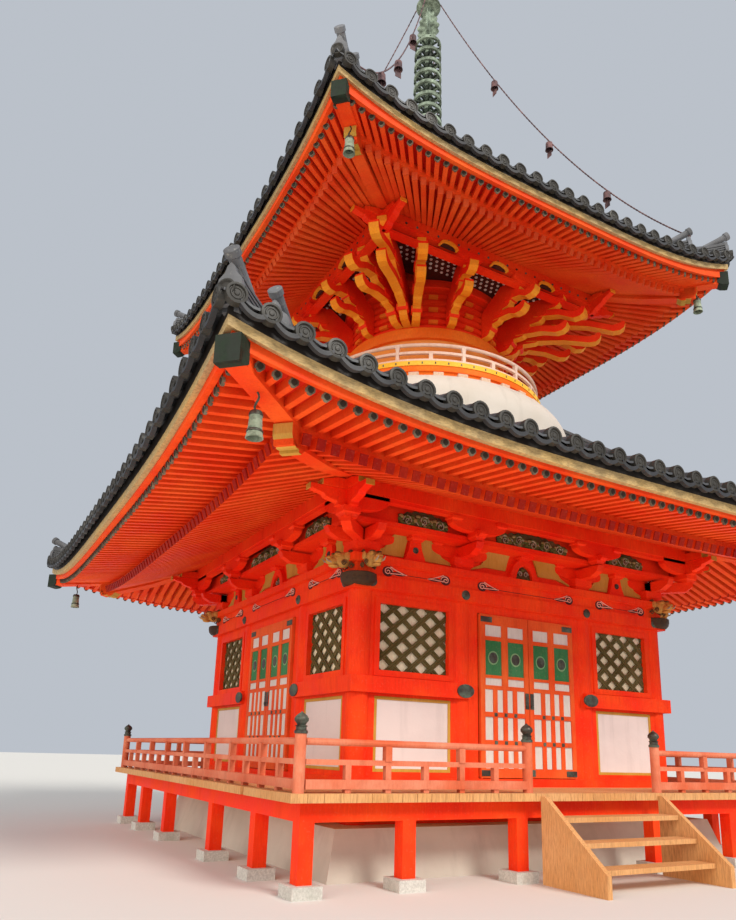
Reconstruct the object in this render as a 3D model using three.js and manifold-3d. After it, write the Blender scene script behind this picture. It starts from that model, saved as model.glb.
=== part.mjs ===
// A treasure pagoda in painted timber: a square lower storey on a veranda, a plastered dome,
// a round upper storey behind a balcony, two tiled roofs and a bronze finial with four chains.
// Millimetres, +Z up. The origin is the centre of the footprint at ground level.
// The front is the -Y side, and every side is named as it is seen from outside.
import * as THREE from "three";
import { mergeVertices } from "three/addons/utils/BufferGeometryUtils.js";
import Module from "manifold-3d";

const wasm = await Module();
wasm.setup();

// Clearance where a piece is cut by its neighbour or rests on a sloping one.
const SEAT = 0.3;

// The lower storey: three bays a side between round columns.
const FLOOR = 900;
const FLOOR_THICK = 80;
const MOUND_TOP = 500;
const COLUMN_LINE = 2460;
const BAY_LINE = 1040;
const COLUMN_R = 140;
const COLUMN_SIDES = 12;
const COLUMN_TOP = 3310;
const WALL_OUT = COLUMN_LINE + 100;
const WALL_IN = COLUMN_LINE - 20;
const SILL_OUT = COLUMN_LINE + COLUMN_R;
const SILL_TOP = 1000;
const BEAM_OUT = 2640;
const WAIST = [1935, 2122];
const HEAD = [3144, 3310];
const WINDOW = { left: 1215, right: 2285, bottom: 2165, top: 3040, back: 2470 };

// The doors stand flush with the columns and open outwards onto the veranda.
const DOOR = {
  half: 800,
  bottom: 1010,
  top: 3030,
  face: 2600,
  thick: 50,
  edge: 15,
  meet: 5,
  pivot: 760,
  pin: 16,
};

// The veranda: boards on a frame of posts and beams, with a low railing and front steps.
const DECK_HALF = 3810;
const POST_LINE = 3560;
const RAIL_LINE = 3690;
const STEPS = { half: 930, run: 890, treads: 3, board: 60 };

// A storey's eaves. Base rafters fall from the purlin to their tips, and flying rafters go on
// from there, flatter. Towards a corner everything rises: the decks less than the boards.
const LOWER = {
  inner: 2380,
  purlin: 2950,
  purlinBottom: 4180,
  purlinTop: 4355,
  baseSlope: 0.383,
  baseRafter: 100,
  baseTip: 4150,
  flyAtTip: 4045,
  flySlope: 0.141,
  flyRafter: 80,
  tip: 5000,
  boardBottom: 4035,
  boardTop: 4097,
  edge: 5134,
  rafterLift: 330,
  boardLift: 420,
  hipWidth: 190,
  bellAt: 4700,
};
const UPPER = {
  inner: 1300,
  purlin: 2110,
  purlinBottom: 8800,
  purlinTop: 8950,
  baseSlope: 0.404,
  baseRafter: 90,
  baseTip: 3100,
  flyAtTip: 8700,
  flySlope: 0.175,
  flyRafter: 75,
  tip: 3500,
  boardBottom: 8757,
  boardTop: 8817,
  edge: 3618,
  rafterLift: 310,
  boardLift: 400,
  hipWidth: 160,
  bellAt: 3250,
};
const LIFT_POWER = 3.6;
const LIFT_SPREAD = 1.4;
const STATIONS = [-1, -0.85, -0.5, 0, 0.5, 0.85];
const DECK_THICK = 40;
const RED_BOARD = 62;

// The tiles: height over the eave is pitch * run + curve * run * run. They reach past the board,
// to lip, and a cover row lies over every joint: firstRow is the first one right of the middle.
const LOWER_BED = {
  start: 4240,
  pitch: 0.339,
  curve: 0.75e-4,
  lip: 5230,
  rows: [5134, 4300, 3000, 1600],
  firstRow: 146,
};
const UPPER_BED = {
  start: 8965,
  pitch: 0.475,
  curve: 1.512e-4,
  lip: 3700,
  rows: [3618, 3100, 2250, 1300, 350],
  firstRow: 0,
};
const BED_THICK = 140;
const LIP_THICK = 60;
const COVER = { pitch: 292, height: 98, fromCorner: 240 };
const RIDGE = { height: 240, width: 210, tip: 110, crest: 430, crestThick: 120 };

// The dome, the balcony and the round upper storey.
const DOME_R = 2450;
const DOME_TOP = 6720;
const ROUND_SIDES = 24;
const BALCONY = { out: 2030, lip: 1990, lipTop: 6790, top: 6960 };
const BALCONY_RAIL_R = 1940;
const DRUM = { r: 1330, inner: 1210, beamR: 1400, beam: [7720, 7900] };
const BRACKET = { foot: 7960, steps: 4, rise: 190 };
const SET_ANGLE = Math.PI / 6;
const FAN_ANGLE = 0.187;

// The finial stands on the flat top of the upper roof.
const APEX = 12000;
const FINIAL = { shaft: 60, rings: 9, firstRing: 13085, ringStep: 300, ringR: 292, ringTaper: 3, sides: 12 };
const CROWN_Z = 16250;
const CROWN_R = 250;
const FINIAL_TOP = 17150;

const VERMILION = 0xd6361a;
const OCHRE = 0xc08a35;
const PLASTER = 0xefe9dc;
const BRONZE = 0x6f8f78;
const TILE = 0x5a6064;
const PALE_PINK = 0xc79a93;

const pagoda = new THREE.Group();

function place(name, geometry, color, roughness = 0.6, metalness = 0) {
  const mesh = new THREE.Mesh(geometry, new THREE.MeshStandardMaterial({ color, roughness, metalness }));
  mesh.name = name;
  pagoda.add(mesh);
}

function solidOf(geometry) {
  const bare = geometry.clone();
  bare.deleteAttribute("normal");
  bare.deleteAttribute("uv");
  const merged = mergeVertices(bare, 1e-3);
  const triVerts = new Uint32Array(merged.index.array);
  return new wasm.Manifold(
    new wasm.Mesh({ numProp: 3, vertProperties: merged.attributes.position.array, triVerts }),
  );
}

function geometryOf(solid) {
  const mesh = solid.getMesh();
  const geometry = new THREE.BufferGeometry();
  geometry.setAttribute("position", new THREE.BufferAttribute(mesh.vertProperties, 3));
  geometry.setIndex(new THREE.BufferAttribute(mesh.triVerts, 1));
  return geometry;
}

// Joins a list of geometries into one, less another list.
function join(parts, holes = []) {
  const whole = parts.map(solidOf).reduce((a, b) => a.add(b));
  return geometryOf(holes.map(solidOf).reduce((a, b) => a.subtract(b), whole).simplify(0.01));
}

function box(x0, y0, z0, x1, y1, z1) {
  const geometry = new THREE.BoxGeometry(Math.abs(x1 - x0), Math.abs(y1 - y0), Math.abs(z1 - z0));
  return geometry.translate((x0 + x1) / 2, (y0 + y1) / 2, (z0 + z1) / 2);
}

// A drum with its axis upright.
function post(x, y, z0, z1, radius, sides) {
  const geometry = new THREE.CylinderGeometry(radius, radius, z1 - z0, sides);
  return geometry.rotateX(Math.PI / 2).translate(x, y, (z0 + z1) / 2);
}

// A body turned about the Z axis from its outline in radius and height.
function turned(outline, sides) {
  const points = outline.map(([r, z]) => new THREE.Vector2(r, z));
  return new THREE.LatheGeometry(points, sides).rotateX(Math.PI / 2);
}

// A slab of the given width that stands upright: its outline runs outwards and up, towards angle.
function fin(outline, width, angle) {
  const shape = new THREE.Shape(outline.map(([d, z]) => new THREE.Vector2(d, z)));
  const slab = new THREE.ExtrudeGeometry(shape, { depth: width, bevelEnabled: false });
  return slab.rotateX(Math.PI / 2).translate(0, width / 2, 0).rotateZ(angle);
}

// The same solid as seen in a mirror that stands across the X axis.
function mirrored(geometry) {
  const copy = geometry.clone().scale(-1, 1, 1);
  return copy.setIndex([...copy.index.array].reverse());
}

const quarter = (geometry, turns) => geometry.clone().rotateZ((turns * Math.PI) / 2);
const allRound = (parts) => [0, 1, 2, 3].flatMap((k) => parts.map((p) => quarter(p, k)));
const DIAGONALS = [1, 3, 5, 7].map((k) => (k * Math.PI) / 4);

// A closed ring on a square plan. Each outline point is half the width, the height and the rise
// at the corners. The split of each face follows the width, so that faces that meet lie parallel.
function squareRing(outline, stations = [-1]) {
  const rows = [];
  for (let side = 0; side < 4; side++) {
    for (const u of stations) rows.push([side, u]);
  }
  const vertices = [];
  for (const [side, u] of rows) {
    const turn = (side * Math.PI) / 2;
    for (const [r, z, lift = 0] of outline) {
      const x = u * r * Math.cos(turn) + r * Math.sin(turn);
      const y = u * r * Math.sin(turn) - r * Math.cos(turn);
      vertices.push(x, y, z + lift * Math.abs(u) ** LIFT_POWER);
    }
  }
  const index = [];
  const n = outline.length;
  for (let i = 0; i < rows.length; i++) {
    const next = (i + 1) % rows.length;
    for (let k = 0; k < n; k++) {
      const up = (k + 1) % n;
      const [a, b, c, d] = [i * n + k, next * n + k, next * n + up, i * n + up];
      if (outline[k][0] <= outline[up][0]) index.push(a, b, c, a, c, d);
      else index.push(a, b, d, b, c, d);
    }
  }
  const geometry = new THREE.BufferGeometry();
  geometry.setAttribute("position", new THREE.Float32BufferAttribute(vertices, 3));
  geometry.setIndex(index);
  return geometry;
}

// The same outline on both sides of every corner, as a slab at the given distance from the centre.
function crossing(outline, width, line) {
  const slab = fin(outline, width, 0);
  return allRound([slab.clone().translate(0, line, 0), slab.clone().translate(0, -line, 0)]);
}

// The stepped end of a bracket arm that carries a purlin's end beyond the corner.
function armNose(e, length) {
  const from = e.purlin - 70;
  const top = e.purlinBottom;
  const step = (length + 70) / 3;
  return [
    [from, top - 210],
    [from + step, top - 200],
    [from + step + 30, top - 140],
    [from + 2 * step, top - 130],
    [from + 2 * step + 30, top - 75],
    [from + 3 * step - 20, top - 65],
    [from + 3 * step, top - 1],
    [from, top - 1],
  ];
}

// The stone mound under the building and the stone-footed frame that carries the veranda.
function mound() {
  const spread = Math.SQRT2;
  const block = new THREE.CylinderGeometry(2900 * spread, 3050 * spread, MOUND_TOP, 4);
  return block.rotateX(Math.PI / 2).rotateZ(Math.PI / 4).translate(0, 0, MOUND_TOP / 2);
}

function verandaFrame() {
  const top = FLOOR - FLOOR_THICK;
  const half = 75;
  const lines = [-COLUMN_LINE, -BAY_LINE, BAY_LINE, COLUMN_LINE];
  const ring = squareRing([
    [POST_LINE - half, top - 180],
    [POST_LINE + half, top - 180],
    [POST_LINE + half, top],
    [POST_LINE - half, top],
  ]);
  const posts = lines.map((x) => box(x - half, -POST_LINE - half, 0, x + half, -POST_LINE + half, top - 20));
  const bearers = lines.map((x) => box(x - half, -POST_LINE, top - 140, x + half, -SILL_OUT - SEAT, top));
  const corner = box(-POST_LINE - half, -POST_LINE - half, 0, -POST_LINE + half, -POST_LINE + half, top - 20);
  return join([ring, ...allRound([...posts, ...bearers, corner])]);
}

function verandaFloor() {
  const low = FLOOR - FLOOR_THICK;
  return squareRing([
    [SILL_OUT + SEAT, low],
    [DECK_HALF, low],
    [DECK_HALF, FLOOR],
    [SILL_OUT + SEAT, FLOOR],
  ]);
}

// Steps between two side boards, up to the middle of the front.
function frontSteps() {
  const near = DECK_HALF + SEAT;
  const board = [
    [near, 0],
    [near + STEPS.run, 0],
    [near + STEPS.run, 210],
    [near + 60, FLOOR - 30],
    [near, FLOOR - 30],
  ];
  const sides = [-1, 1].map((s) =>
    fin(board, STEPS.board, -Math.PI / 2).translate(s * (STEPS.half - STEPS.board / 2), 0, 0),
  );
  const treads = [];
  for (let i = 1; i <= STEPS.treads; i++) {
    const z = (FLOOR * i) / (STEPS.treads + 1);
    const y = -near - STEPS.run * (1 - i / (STEPS.treads + 1)) + 60;
    treads.push(box(-STEPS.half + 10, y - 110, z - 50, STEPS.half - 10, y + 130, z));
  }
  return join([...sides, ...treads]);
}

// A railing along straight runs: three rails, posts, and taller capped posts at marked points.
function railing(runs, plain, capped) {
  const parts = [];
  const levels = [
    [930, 1030, 40],
    [1150, 1200, 25],
    [1340, 1390, 30],
  ];
  for (const [x0, y0, x1, y1] of runs) {
    for (const [z0, z1, half] of levels) {
      const [wide, deep] = y0 === y1 ? [0, half] : [half, 0];
      parts.push(box(x0 - wide, y0 - deep, z0, x1 + wide, y1 + deep, z1));
    }
  }
  for (const [x, y] of plain) parts.push(box(x - 34, y - 34, FLOOR, x + 34, y + 34, 1345));
  for (const [x, y] of capped) {
    parts.push(box(x - 55, y - 55, FLOOR, x + 55, y + 55, 1480));
    const cap = turned(
      [
        [0, 1470],
        [48, 1470],
        [62, 1520],
        [40, 1575],
        [0, 1630],
      ],
      8,
    );
    parts.push(cap.translate(x, y, 0));
  }
  return join(parts);
}

function column(x, y) {
  return post(x, y, MOUND_TOP, COLUMN_TOP, COLUMN_R, COLUMN_SIDES);
}

// What a wall or beam leaves free for the columns of one side.
function columnHoles(lines = [-COLUMN_LINE, -BAY_LINE, BAY_LINE, COLUMN_LINE]) {
  return lines.map((x) =>
    post(x, -COLUMN_LINE, MOUND_TOP - 10, COLUMN_TOP + 10, COLUMN_R + SEAT, COLUMN_SIDES),
  );
}

function roomFloor() {
  const slab = box(-WALL_IN + SEAT, -WALL_IN + SEAT, FLOOR - FLOOR_THICK, WALL_IN - SEAT, WALL_IN - SEAT, FLOOR);
  return join([slab], allRound(columnHoles([-COLUMN_LINE, -BAY_LINE, BAY_LINE])));
}

// A side bay on the right: sill, plaster panel, and a window opening with a board at its back.
function bayWall() {
  const wall = box(BAY_LINE, -WALL_OUT, MOUND_TOP, COLUMN_LINE, -WALL_IN, COLUMN_TOP);
  const sill = box(BAY_LINE, -SILL_OUT, FLOOR - FLOOR_THICK, COLUMN_LINE, -WALL_IN, SILL_TOP);
  const opening = box(WINDOW.left, -WALL_OUT - 1, WINDOW.bottom, WINDOW.right, -WINDOW.back, WINDOW.top);
  const panel = box(WINDOW.left, -WALL_OUT - 1, SILL_TOP + 60, WINDOW.right, -WALL_OUT + 25, WAIST[0] - 30);
  return join([wall, sill], [...columnHoles([BAY_LINE, COLUMN_LINE]), opening, panel]);
}

// The middle bay's frame: its two columns, threshold, jambs and lintel.
function doorFrame() {
  const parts = [column(-BAY_LINE, -COLUMN_LINE), column(BAY_LINE, -COLUMN_LINE)];
  const [front, back] = [-WALL_OUT, -WALL_IN];
  parts.push(box(-BAY_LINE, -SILL_OUT, MOUND_TOP, BAY_LINE, back, SILL_TOP));
  parts.push(box(-BAY_LINE, front, DOOR.top + 10, BAY_LINE, back, COLUMN_TOP));
  for (const s of [-1, 1]) {
    parts.push(box(s * DOOR.half, front, SILL_TOP - 5, s * BAY_LINE, back, DOOR.top + 20));
  }
  return join(parts);
}

// One door leaf, on its left a pivot pin at foot and head: three rows of panels over a barred field.
function doorLeaf(x1 = -DOOR.meet) {
  const x0 = -DOOR.half + DOOR.edge;
  const leaf = box(x0, -DOOR.face, DOOR.bottom, x1, -DOOR.face + DOOR.thick, DOOR.top);
  const middle = (x0 + x1) / 2;
  const fields = [[x0 + 70, x1 - 70, 1120, 2080]];
  for (const [low, high] of [[2125, 2225], [2255, 2700], [2745, 2900]]) {
    fields.push([x0 + 70, middle - 45, low, high], [middle + 45, x1 - 70, low, high]);
  }
  const recesses = fields.map(([a, b, z0, z1]) => box(a, -DOOR.face - 1, z0, b, -DOOR.face + 14, z1));
  const axis = -DOOR.face + DOOR.thick / 2;
  const pins = [
    post(-DOOR.pivot, axis, SILL_TOP + SEAT, DOOR.bottom + 5, DOOR.pin, 8),
    post(-DOOR.pivot, axis, DOOR.top - 5, DOOR.top + 10 - SEAT, DOOR.pin, 8),
  ];
  return join([leaf, ...pins], recesses);
}

// The rails that wrap the columns outside, at the waist round each corner and at the head all round.
function waistBeam() {
  const inside = WALL_OUT + SEAT;
  const end = BAY_LINE - 75;
  const front = box(-BEAM_OUT, -BEAM_OUT, WAIST[0], -end, -inside, WAIST[1]);
  const side = box(-BEAM_OUT, -BEAM_OUT, WAIST[0], -inside, -end, WAIST[1]);
  const holes = [...columnHoles(), ...columnHoles().map((p) => quarter(p, 3))];
  return join([front, side], holes);
}

function headBeam() {
  const inside = WALL_OUT + SEAT;
  const ring = squareRing([
    [inside, HEAD[0]],
    [BEAM_OUT, HEAD[0]],
    [BEAM_OUT, HEAD[1]],
    [inside, HEAD[1]],
  ]);
  return join([ring], allRound(columnHoles([-COLUMN_LINE, -BAY_LINE, BAY_LINE])));
}

// The tie beam on the column heads and the wide plate on it that carries the brackets.
function columnTie() {
  return squareRing([
    [2300, COLUMN_TOP],
    [SILL_OUT, COLUMN_TOP],
    [SILL_OUT, 3455],
    [2670, 3455],
    [2670, 3550],
    [2230, 3550],
    [2230, 3455],
    [2300, 3455],
  ]);
}

// Undersides of the boards over the base rafters and over the flying rafters, and their rise.
const baseDeck = (e, r) => e.purlinTop - e.baseSlope * (r - e.purlin) + e.baseRafter;
const flyDeck = (e, r) => e.flyAtTip - e.flySlope * (r - e.baseTip) + e.flyRafter;
const rafterLift = (e, r) => e.rafterLift * Math.max(0, (r - e.purlin) / (e.tip - e.purlin)) ** LIFT_SPREAD;

// The bracket tier stands on that plate: a boarded wall with a shelf beam in front, boxed in above,
// and on each column a block and crossed arms that reach out to the purlin.
function lowerBrackets() {
  const foot = 3550;
  const shelf = { bottom: 3895, top: 3955, out: 2780, back: 2715 };
  const wall = squareRing([
    [2430, foot],
    [2490, foot],
    [2490, shelf.bottom],
    [shelf.out, shelf.bottom],
    [shelf.out, shelf.top],
    [shelf.back, shelf.top],
    [shelf.back, LOWER.purlinBottom],
    [2490, LOWER.purlinBottom],
    [2490, baseDeck(LOWER, 2490) - SEAT],
    [2430, baseDeck(LOWER, 2430) - SEAT],
  ]);
  const line = LOWER.purlin - 70;
  const arm = [
    [-110, 3840],
    [110, 3840],
    [420, 4050],
    [420, LOWER.purlinBottom],
    [-420, LOWER.purlinBottom],
    [-420, 4050],
  ];
  const parts = [wall];
  for (const x of [-BAY_LINE, BAY_LINE]) {
    parts.push(
      ...allRound([
        box(x - 150, -COLUMN_LINE - 150, foot, x + 150, -COLUMN_LINE + 150, 3720),
        box(x - 420, -COLUMN_LINE - 55, 3720, x + 420, -COLUMN_LINE + 55, 3850),
        box(x - 55, -line - 55, 3719, x + 55, -COLUMN_LINE + 200, 3850),
        fin(arm, 110, 0).translate(x, -line, 0),
      ]),
    );
  }
  const c = COLUMN_LINE;
  const reach = (line + 60) * Math.SQRT2;
  parts.push(
    ...allRound([
      box(-c - 160, -c - 160, foot, -c + 160, -c + 160, 3720),
      box(-c - 160, -c - 55, 3719, -c + 420, -c + 55, 3850),
      box(-c - 55, -c - 160, 3719, -c + 55, -c + 420, 3850),
      box(-line - 55, -line - 55, 3840, -line + 55, -line + 55, LOWER.purlinBottom),
      box(-line - 55, -line - 55, 3990, -line + 520, -line + 55, LOWER.purlinBottom),
      box(-line - 55, -line - 55, 3990, -line + 55, -line + 520, LOWER.purlinBottom),
    ]),
  );
  const root = c * Math.SQRT2;
  const diagonal = [
    [root, 3719],
    [reach, 3719],
    [reach, 3850],
    [root, 3850],
  ];
  parts.push(...DIAGONALS.map((angle) => fin(diagonal, 120, angle)));
  parts.push(...crossing(armNose(LOWER, 440), 100, line));
  return join(parts);
}

// A purlin with the boards on it that fill up to the deck between the rafters. The four sides
// cross at the corners, and their ends run on there under the rafters.
function purlin(e) {
  const back = e.purlin - 140;
  const ring = squareRing([
    [back, e.purlinBottom],
    [e.purlin, e.purlinBottom],
    [e.purlin, e.purlinTop],
    [e.purlin - 50, e.purlinTop],
    [e.purlin - 50, baseDeck(e, e.purlin - 50) - SEAT],
    [e.purlin - 90, baseDeck(e, e.purlin - 90) - SEAT],
    [e.purlin - 90, e.purlinTop],
    [back, e.purlinTop],
  ]);
  const top = e.purlinTop - 55;
  const low = e.purlinBottom + 4;
  const nose = [
    [e.purlin - 10, low],
    [e.purlin + 290, low],
    [e.purlin + 290, top - 50],
    [e.purlin + 110, top],
    [e.purlin - 10, top],
  ];
  const noses = crossing(nose, 130, e.purlin - 70);
  return join([ring, ...noses]);
}

// The boarded soffit in two tiers, the red board at its edge, the hip rafters and their bells.
function eaves(e) {
  const at = (r, z) => [r, z, rafterLift(e, r)];
  const middle = (e.purlin + e.baseTip) / 2;
  const gap = e.tip + 12;
  const face = gap + RED_BOARD;
  const redBottom = flyDeck(e, gap) - 20;
  const soffit = squareRing(
    [
      at(e.inner, baseDeck(e, e.inner)),
      at(e.purlin, baseDeck(e, e.purlin)),
      at(middle, baseDeck(e, middle)),
      at(e.baseTip, baseDeck(e, e.baseTip)),
      at(e.baseTip, flyDeck(e, e.baseTip)),
      at(gap, flyDeck(e, gap)),
      [gap, redBottom, rafterLift(e, gap)],
      [face, redBottom, rafterLift(e, gap)],
      [face, e.boardBottom, e.boardLift],
      [e.tip, e.boardBottom, e.boardLift],
      at(e.baseTip, flyDeck(e, e.baseTip) + DECK_THICK),
      at(e.inner, baseDeck(e, e.inner) + DECK_THICK),
    ],
    STATIONS,
  );
  const under = (r, z, drop) => [r * Math.SQRT2, z + rafterLift(e, r) - drop];
  const end = e.edge - 30;
  const hip = [
    under(e.purlin + 2, e.purlinTop, 30),
    under(e.baseTip + 130, baseDeck(e, e.baseTip + 130), e.baseRafter + 90),
    under(e.baseTip + 130, flyDeck(e, e.baseTip), e.flyRafter + 70),
    under(end, flyDeck(e, end), e.flyRafter + 90),
    under(end, flyDeck(e, end), -10),
    under(e.baseTip, flyDeck(e, e.baseTip), -10),
    under(middle, baseDeck(e, middle), -20),
    under(e.purlin + 2, e.purlinTop + e.baseRafter, -20),
  ];
  const hips = DIAGONALS.map((angle) => fin(hip, e.hipWidth, angle));
  const top = flyDeck(e, e.bellAt) + rafterLift(e, e.bellAt) - e.flyRafter - 90;
  const bells = allRound([windBell(top + 40).translate(-e.bellAt, -e.bellAt, 0)]);
  return join([soffit, ...hips, ...bells]);
}

// A wind bell on its hook, hanging from the given height.
function windBell(top) {
  const outline = [
    [0, -400],
    [75, -400],
    [55, -180],
    [12, -140],
    [12, 0],
    [0, 0],
  ];
  return turned(
    outline.map(([r, z]) => [r, z + top]),
    6,
  );
}

// The ochre board along the eaves, under the tiles.
function eaveBoard(e) {
  const face = e.tip + 12 + RED_BOARD;
  return squareRing(
    [
      [e.tip, e.boardBottom + SEAT, e.boardLift],
      [face, e.boardBottom + SEAT, e.boardLift],
      [e.edge, e.boardBottom + SEAT, e.boardLift],
      [e.edge, e.boardTop, e.boardLift],
      [e.tip, e.boardTop, e.boardLift],
    ],
    STATIONS,
  );
}

const bedHeight = (e, bed, r) => {
  const run = e.edge - r;
  return bed.start + bed.pitch * run + bed.curve * run * Math.abs(run);
};
const bedRise = (e, r) => {
  const spread = Math.max(0, (r - e.purlin) / (e.edge - e.purlin));
  return (e.boardLift + 10) * spread ** LIFT_SPREAD;
};

// Joins two level loops that run the same way round by a wall of triangles: each step goes on
// along the loop whose next point comes first round the centre.
function stitch(index, low, high, angleOf, outward) {
  let [i, j] = [0, 0];
  while (i < low.length || j < high.length) {
    const [a, b] = [low[i % low.length], high[j % high.length]];
    const lowNext = i < low.length ? angleOf(low, i + 1) : Infinity;
    const highNext = j < high.length ? angleOf(high, j + 1) : Infinity;
    const alongLow = lowNext < highNext - 1e-6;
    const next = alongLow ? low[++i % low.length] : high[++j % high.length];
    if (outward) index.push(a, next, b);
    else index.push(a, b, next);
  }
}

// The tiles on their bed as one shell. Every column of the upper face keeps its x down the slope:
// one along the top of each cover row and one along each channel between them, none past the hips.
function tiledShell(e, bed) {
  const columns = [[-bed.lip, 0]];
  const centres = [];
  const half = COVER.pitch / 2;
  for (let x = bed.firstRow; x < bed.lip - COVER.fromCorner; x += COVER.pitch) centres.push(x);
  const mirror = centres.filter((x) => x > 0).map((x) => -x);
  const covers = [...mirror.reverse(), ...centres];
  for (const x of covers) columns.push([x - half, 0], [x, COVER.height]);
  columns.push([covers[covers.length - 1] + half, 0], [bed.lip, 0]);

  const vertices = [];
  const angles = [];
  const add = (side, x, r, z) => {
    const turn = (side * Math.PI) / 2;
    vertices.push(x * Math.cos(turn) + r * Math.sin(turn), x * Math.sin(turn) - r * Math.cos(turn), z);
    angles.push(turn + Math.atan2(x, r));
    return angles.length - 1;
  };
  const index = [];
  const tops = [bed.lip, ...bed.rows.slice(1)];
  const inner = tops[tops.length - 1];
  const count = columns.length - 1;
  const first = columns.findIndex(([x], j) => columns[j + 1][0] > -inner);
  const last = count - first;
  const sides = [0, 1, 2, 3].map((side) =>
    tops.map((r) =>
      columns.map(([x, swell]) => {
        const out = Math.max(r, Math.abs(x));
        const z = bedHeight(e, bed, out) + bedRise(e, out) * Math.abs(x / out) ** LIFT_POWER;
        return add(side, x, out, z + swell);
      }),
    ),
  );
  for (const rows of sides) {
    for (let i = 0; i < tops.length - 1; i++) {
      for (let j = 0; j < count; j++) {
        const [a, b, c, d] = [rows[i][j], rows[i][j + 1], rows[i + 1][j + 1], rows[i + 1][j]];
        const isPast = (k) => Math.abs(columns[k][0]) >= tops[i];
        if (!isPast(j + 1) || !isPast(j)) index.push(...(isPast(j + 1) ? [a, b, d] : [a, b, c]));
        if (!isPast(j) && !isPast(j + 1)) index.push(a, c, d);
      }
    }
  }

  const soffit = (r) => Math.min(bedHeight(e, bed, r), APEX) - BED_THICK;
  const under = [
    [bed.lip, bedHeight(e, bed, bed.lip) - LIP_THICK, bedRise(e, bed.lip)],
    [e.edge, e.boardTop + SEAT, e.boardLift],
    [e.tip, e.boardTop + SEAT, e.boardLift],
    ...bed.rows.slice(1).map((r) => [r, soffit(r), bedRise(e, r)]),
  ];
  const loops = under.map(([r, z, lift]) =>
    [0, 1, 2, 3].flatMap((side) =>
      STATIONS.map((u) => add(side, u * r, r, z + lift * Math.abs(u) ** LIFT_POWER)),
    ),
  );
  for (let q = 0; q < loops.length - 1; q++) {
    loops[q].forEach((a, k) => {
      const next = (k + 1) % loops[q].length;
      const [b, c, d] = [loops[q][next], loops[q + 1][next], loops[q + 1][k]];
      if (under[q + 1][0] > under[q][0]) index.push(a, c, b, a, d, c);
      else index.push(a, d, b, b, d, c);
    });
  }
  const angleOf = (loop, i) => angles[loop[i % loop.length]] + (i >= loop.length ? 2 * Math.PI : 0);
  const lip = sides.flatMap((rows) => rows[0].slice(0, count));
  const top = sides.flatMap((rows) => rows[tops.length - 1].slice(first, last));
  stitch(index, loops[0], lip, angleOf, true);
  stitch(index, loops[loops.length - 1], top, angleOf, false);

  const geometry = new THREE.BufferGeometry();
  geometry.setAttribute("position", new THREE.Float32BufferAttribute(vertices, 3));
  geometry.setIndex(index);
  const merged = mergeVertices(geometry, 1e-3);
  const { array } = merged.index;
  const kept = [];
  for (let i = 0; i < array.length; i += 3) {
    const [a, b, c] = array.slice(i, i + 3);
    if (a !== b && b !== c && c !== a) kept.push(a, b, c);
  }
  return merged.setIndex(kept);
}

// A tiled roof: the tiles on their bed, and a ridge along each hip to a crest tile.
function roof(e, bed) {
  const height = (r) => bedHeight(e, bed, r);
  const rise = (r) => bedRise(e, r);
  const crestAt = e.edge - 330;
  const crown = [];
  const root = [];
  for (const r of bed.rows) {
    const z = height(r) + rise(r);
    root.push([r * Math.SQRT2, z - 40]);
    if (r < crestAt) crown.push([r * Math.SQRT2, z + RIDGE.height]);
  }
  const crestZ = height(crestAt) + rise(crestAt);
  const d = crestAt * Math.SQRT2;
  const tipZ = height(e.edge) + rise(e.edge);
  const outline = [
    ...root,
    ...crown.reverse(),
    [d - RIDGE.crestThick, crestZ + RIDGE.height],
    [d - RIDGE.crestThick, crestZ + RIDGE.crest],
    [d, crestZ + RIDGE.crest],
    [d, crestZ + RIDGE.tip],
    [e.edge * Math.SQRT2 + 60, tipZ + RIDGE.tip + 60],
    [e.edge * Math.SQRT2 + 60, tipZ + 40],
  ];
  const ridges = DIAGONALS.map((angle) => fin(outline, RIDGE.width, angle));
  return [tiledShell(e, bed), ...ridges];
}

function lowerRoof() {
  return join(roof(LOWER, LOWER_BED), [post(0, 0, 4500, 8000, DOME_R + SEAT * 2, ROUND_SIDES)]);
}

function upperRoof() {
  return join(roof(UPPER, UPPER_BED), [box(-600, -600, APEX, 600, 600, APEX + 900)]);
}

// The plastered dome, a shell with a flat top that carries the upper storey.
function dome() {
  return turned(
    [
      [2340, 5450],
      [DOME_R, 5450],
      [DOME_R, 6130],
      [2405, 6340],
      [2300, 6520],
      [2120, 6655],
      [1900, DOME_TOP],
      [1200, DOME_TOP],
      [1200, DOME_TOP - 100],
      [1950, 6600],
      [2270, 6300],
      [2340, 5450],
    ],
    ROUND_SIDES,
  );
}

function balcony() {
  return turned(
    [
      [DRUM.r + 10, DOME_TOP],
      [BALCONY.lip, DOME_TOP],
      [BALCONY.lip, BALCONY.lipTop],
      [BALCONY.out, BALCONY.lipTop],
      [BALCONY.out, BALCONY.top],
      [DRUM.r + 10, BALCONY.top],
      [DRUM.r + 10, DOME_TOP],
    ],
    ROUND_SIDES,
  );
}

function balconyRailing() {
  const levels = [
    [6960, 7020, 35],
    [7115, 7155, 22],
    [7250, 7300, 28],
  ];
  const rings = levels.map(([z0, z1, half]) =>
    turned(
      [
        [BALCONY_RAIL_R - half, z0],
        [BALCONY_RAIL_R + half, z0],
        [BALCONY_RAIL_R + half, z1],
        [BALCONY_RAIL_R - half, z1],
        [BALCONY_RAIL_R - half, z0],
      ],
      24,
    ),
  );
  const posts = [];
  for (let k = 0; k < 12; k++) {
    const foot = box(BALCONY_RAIL_R - 30, -26, BALCONY.top, BALCONY_RAIL_R + 30, 26, 7290);
    posts.push(foot.rotateZ((k + 0.5) * SET_ANGLE));
  }
  return join([...rings, ...posts]);
}

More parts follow.
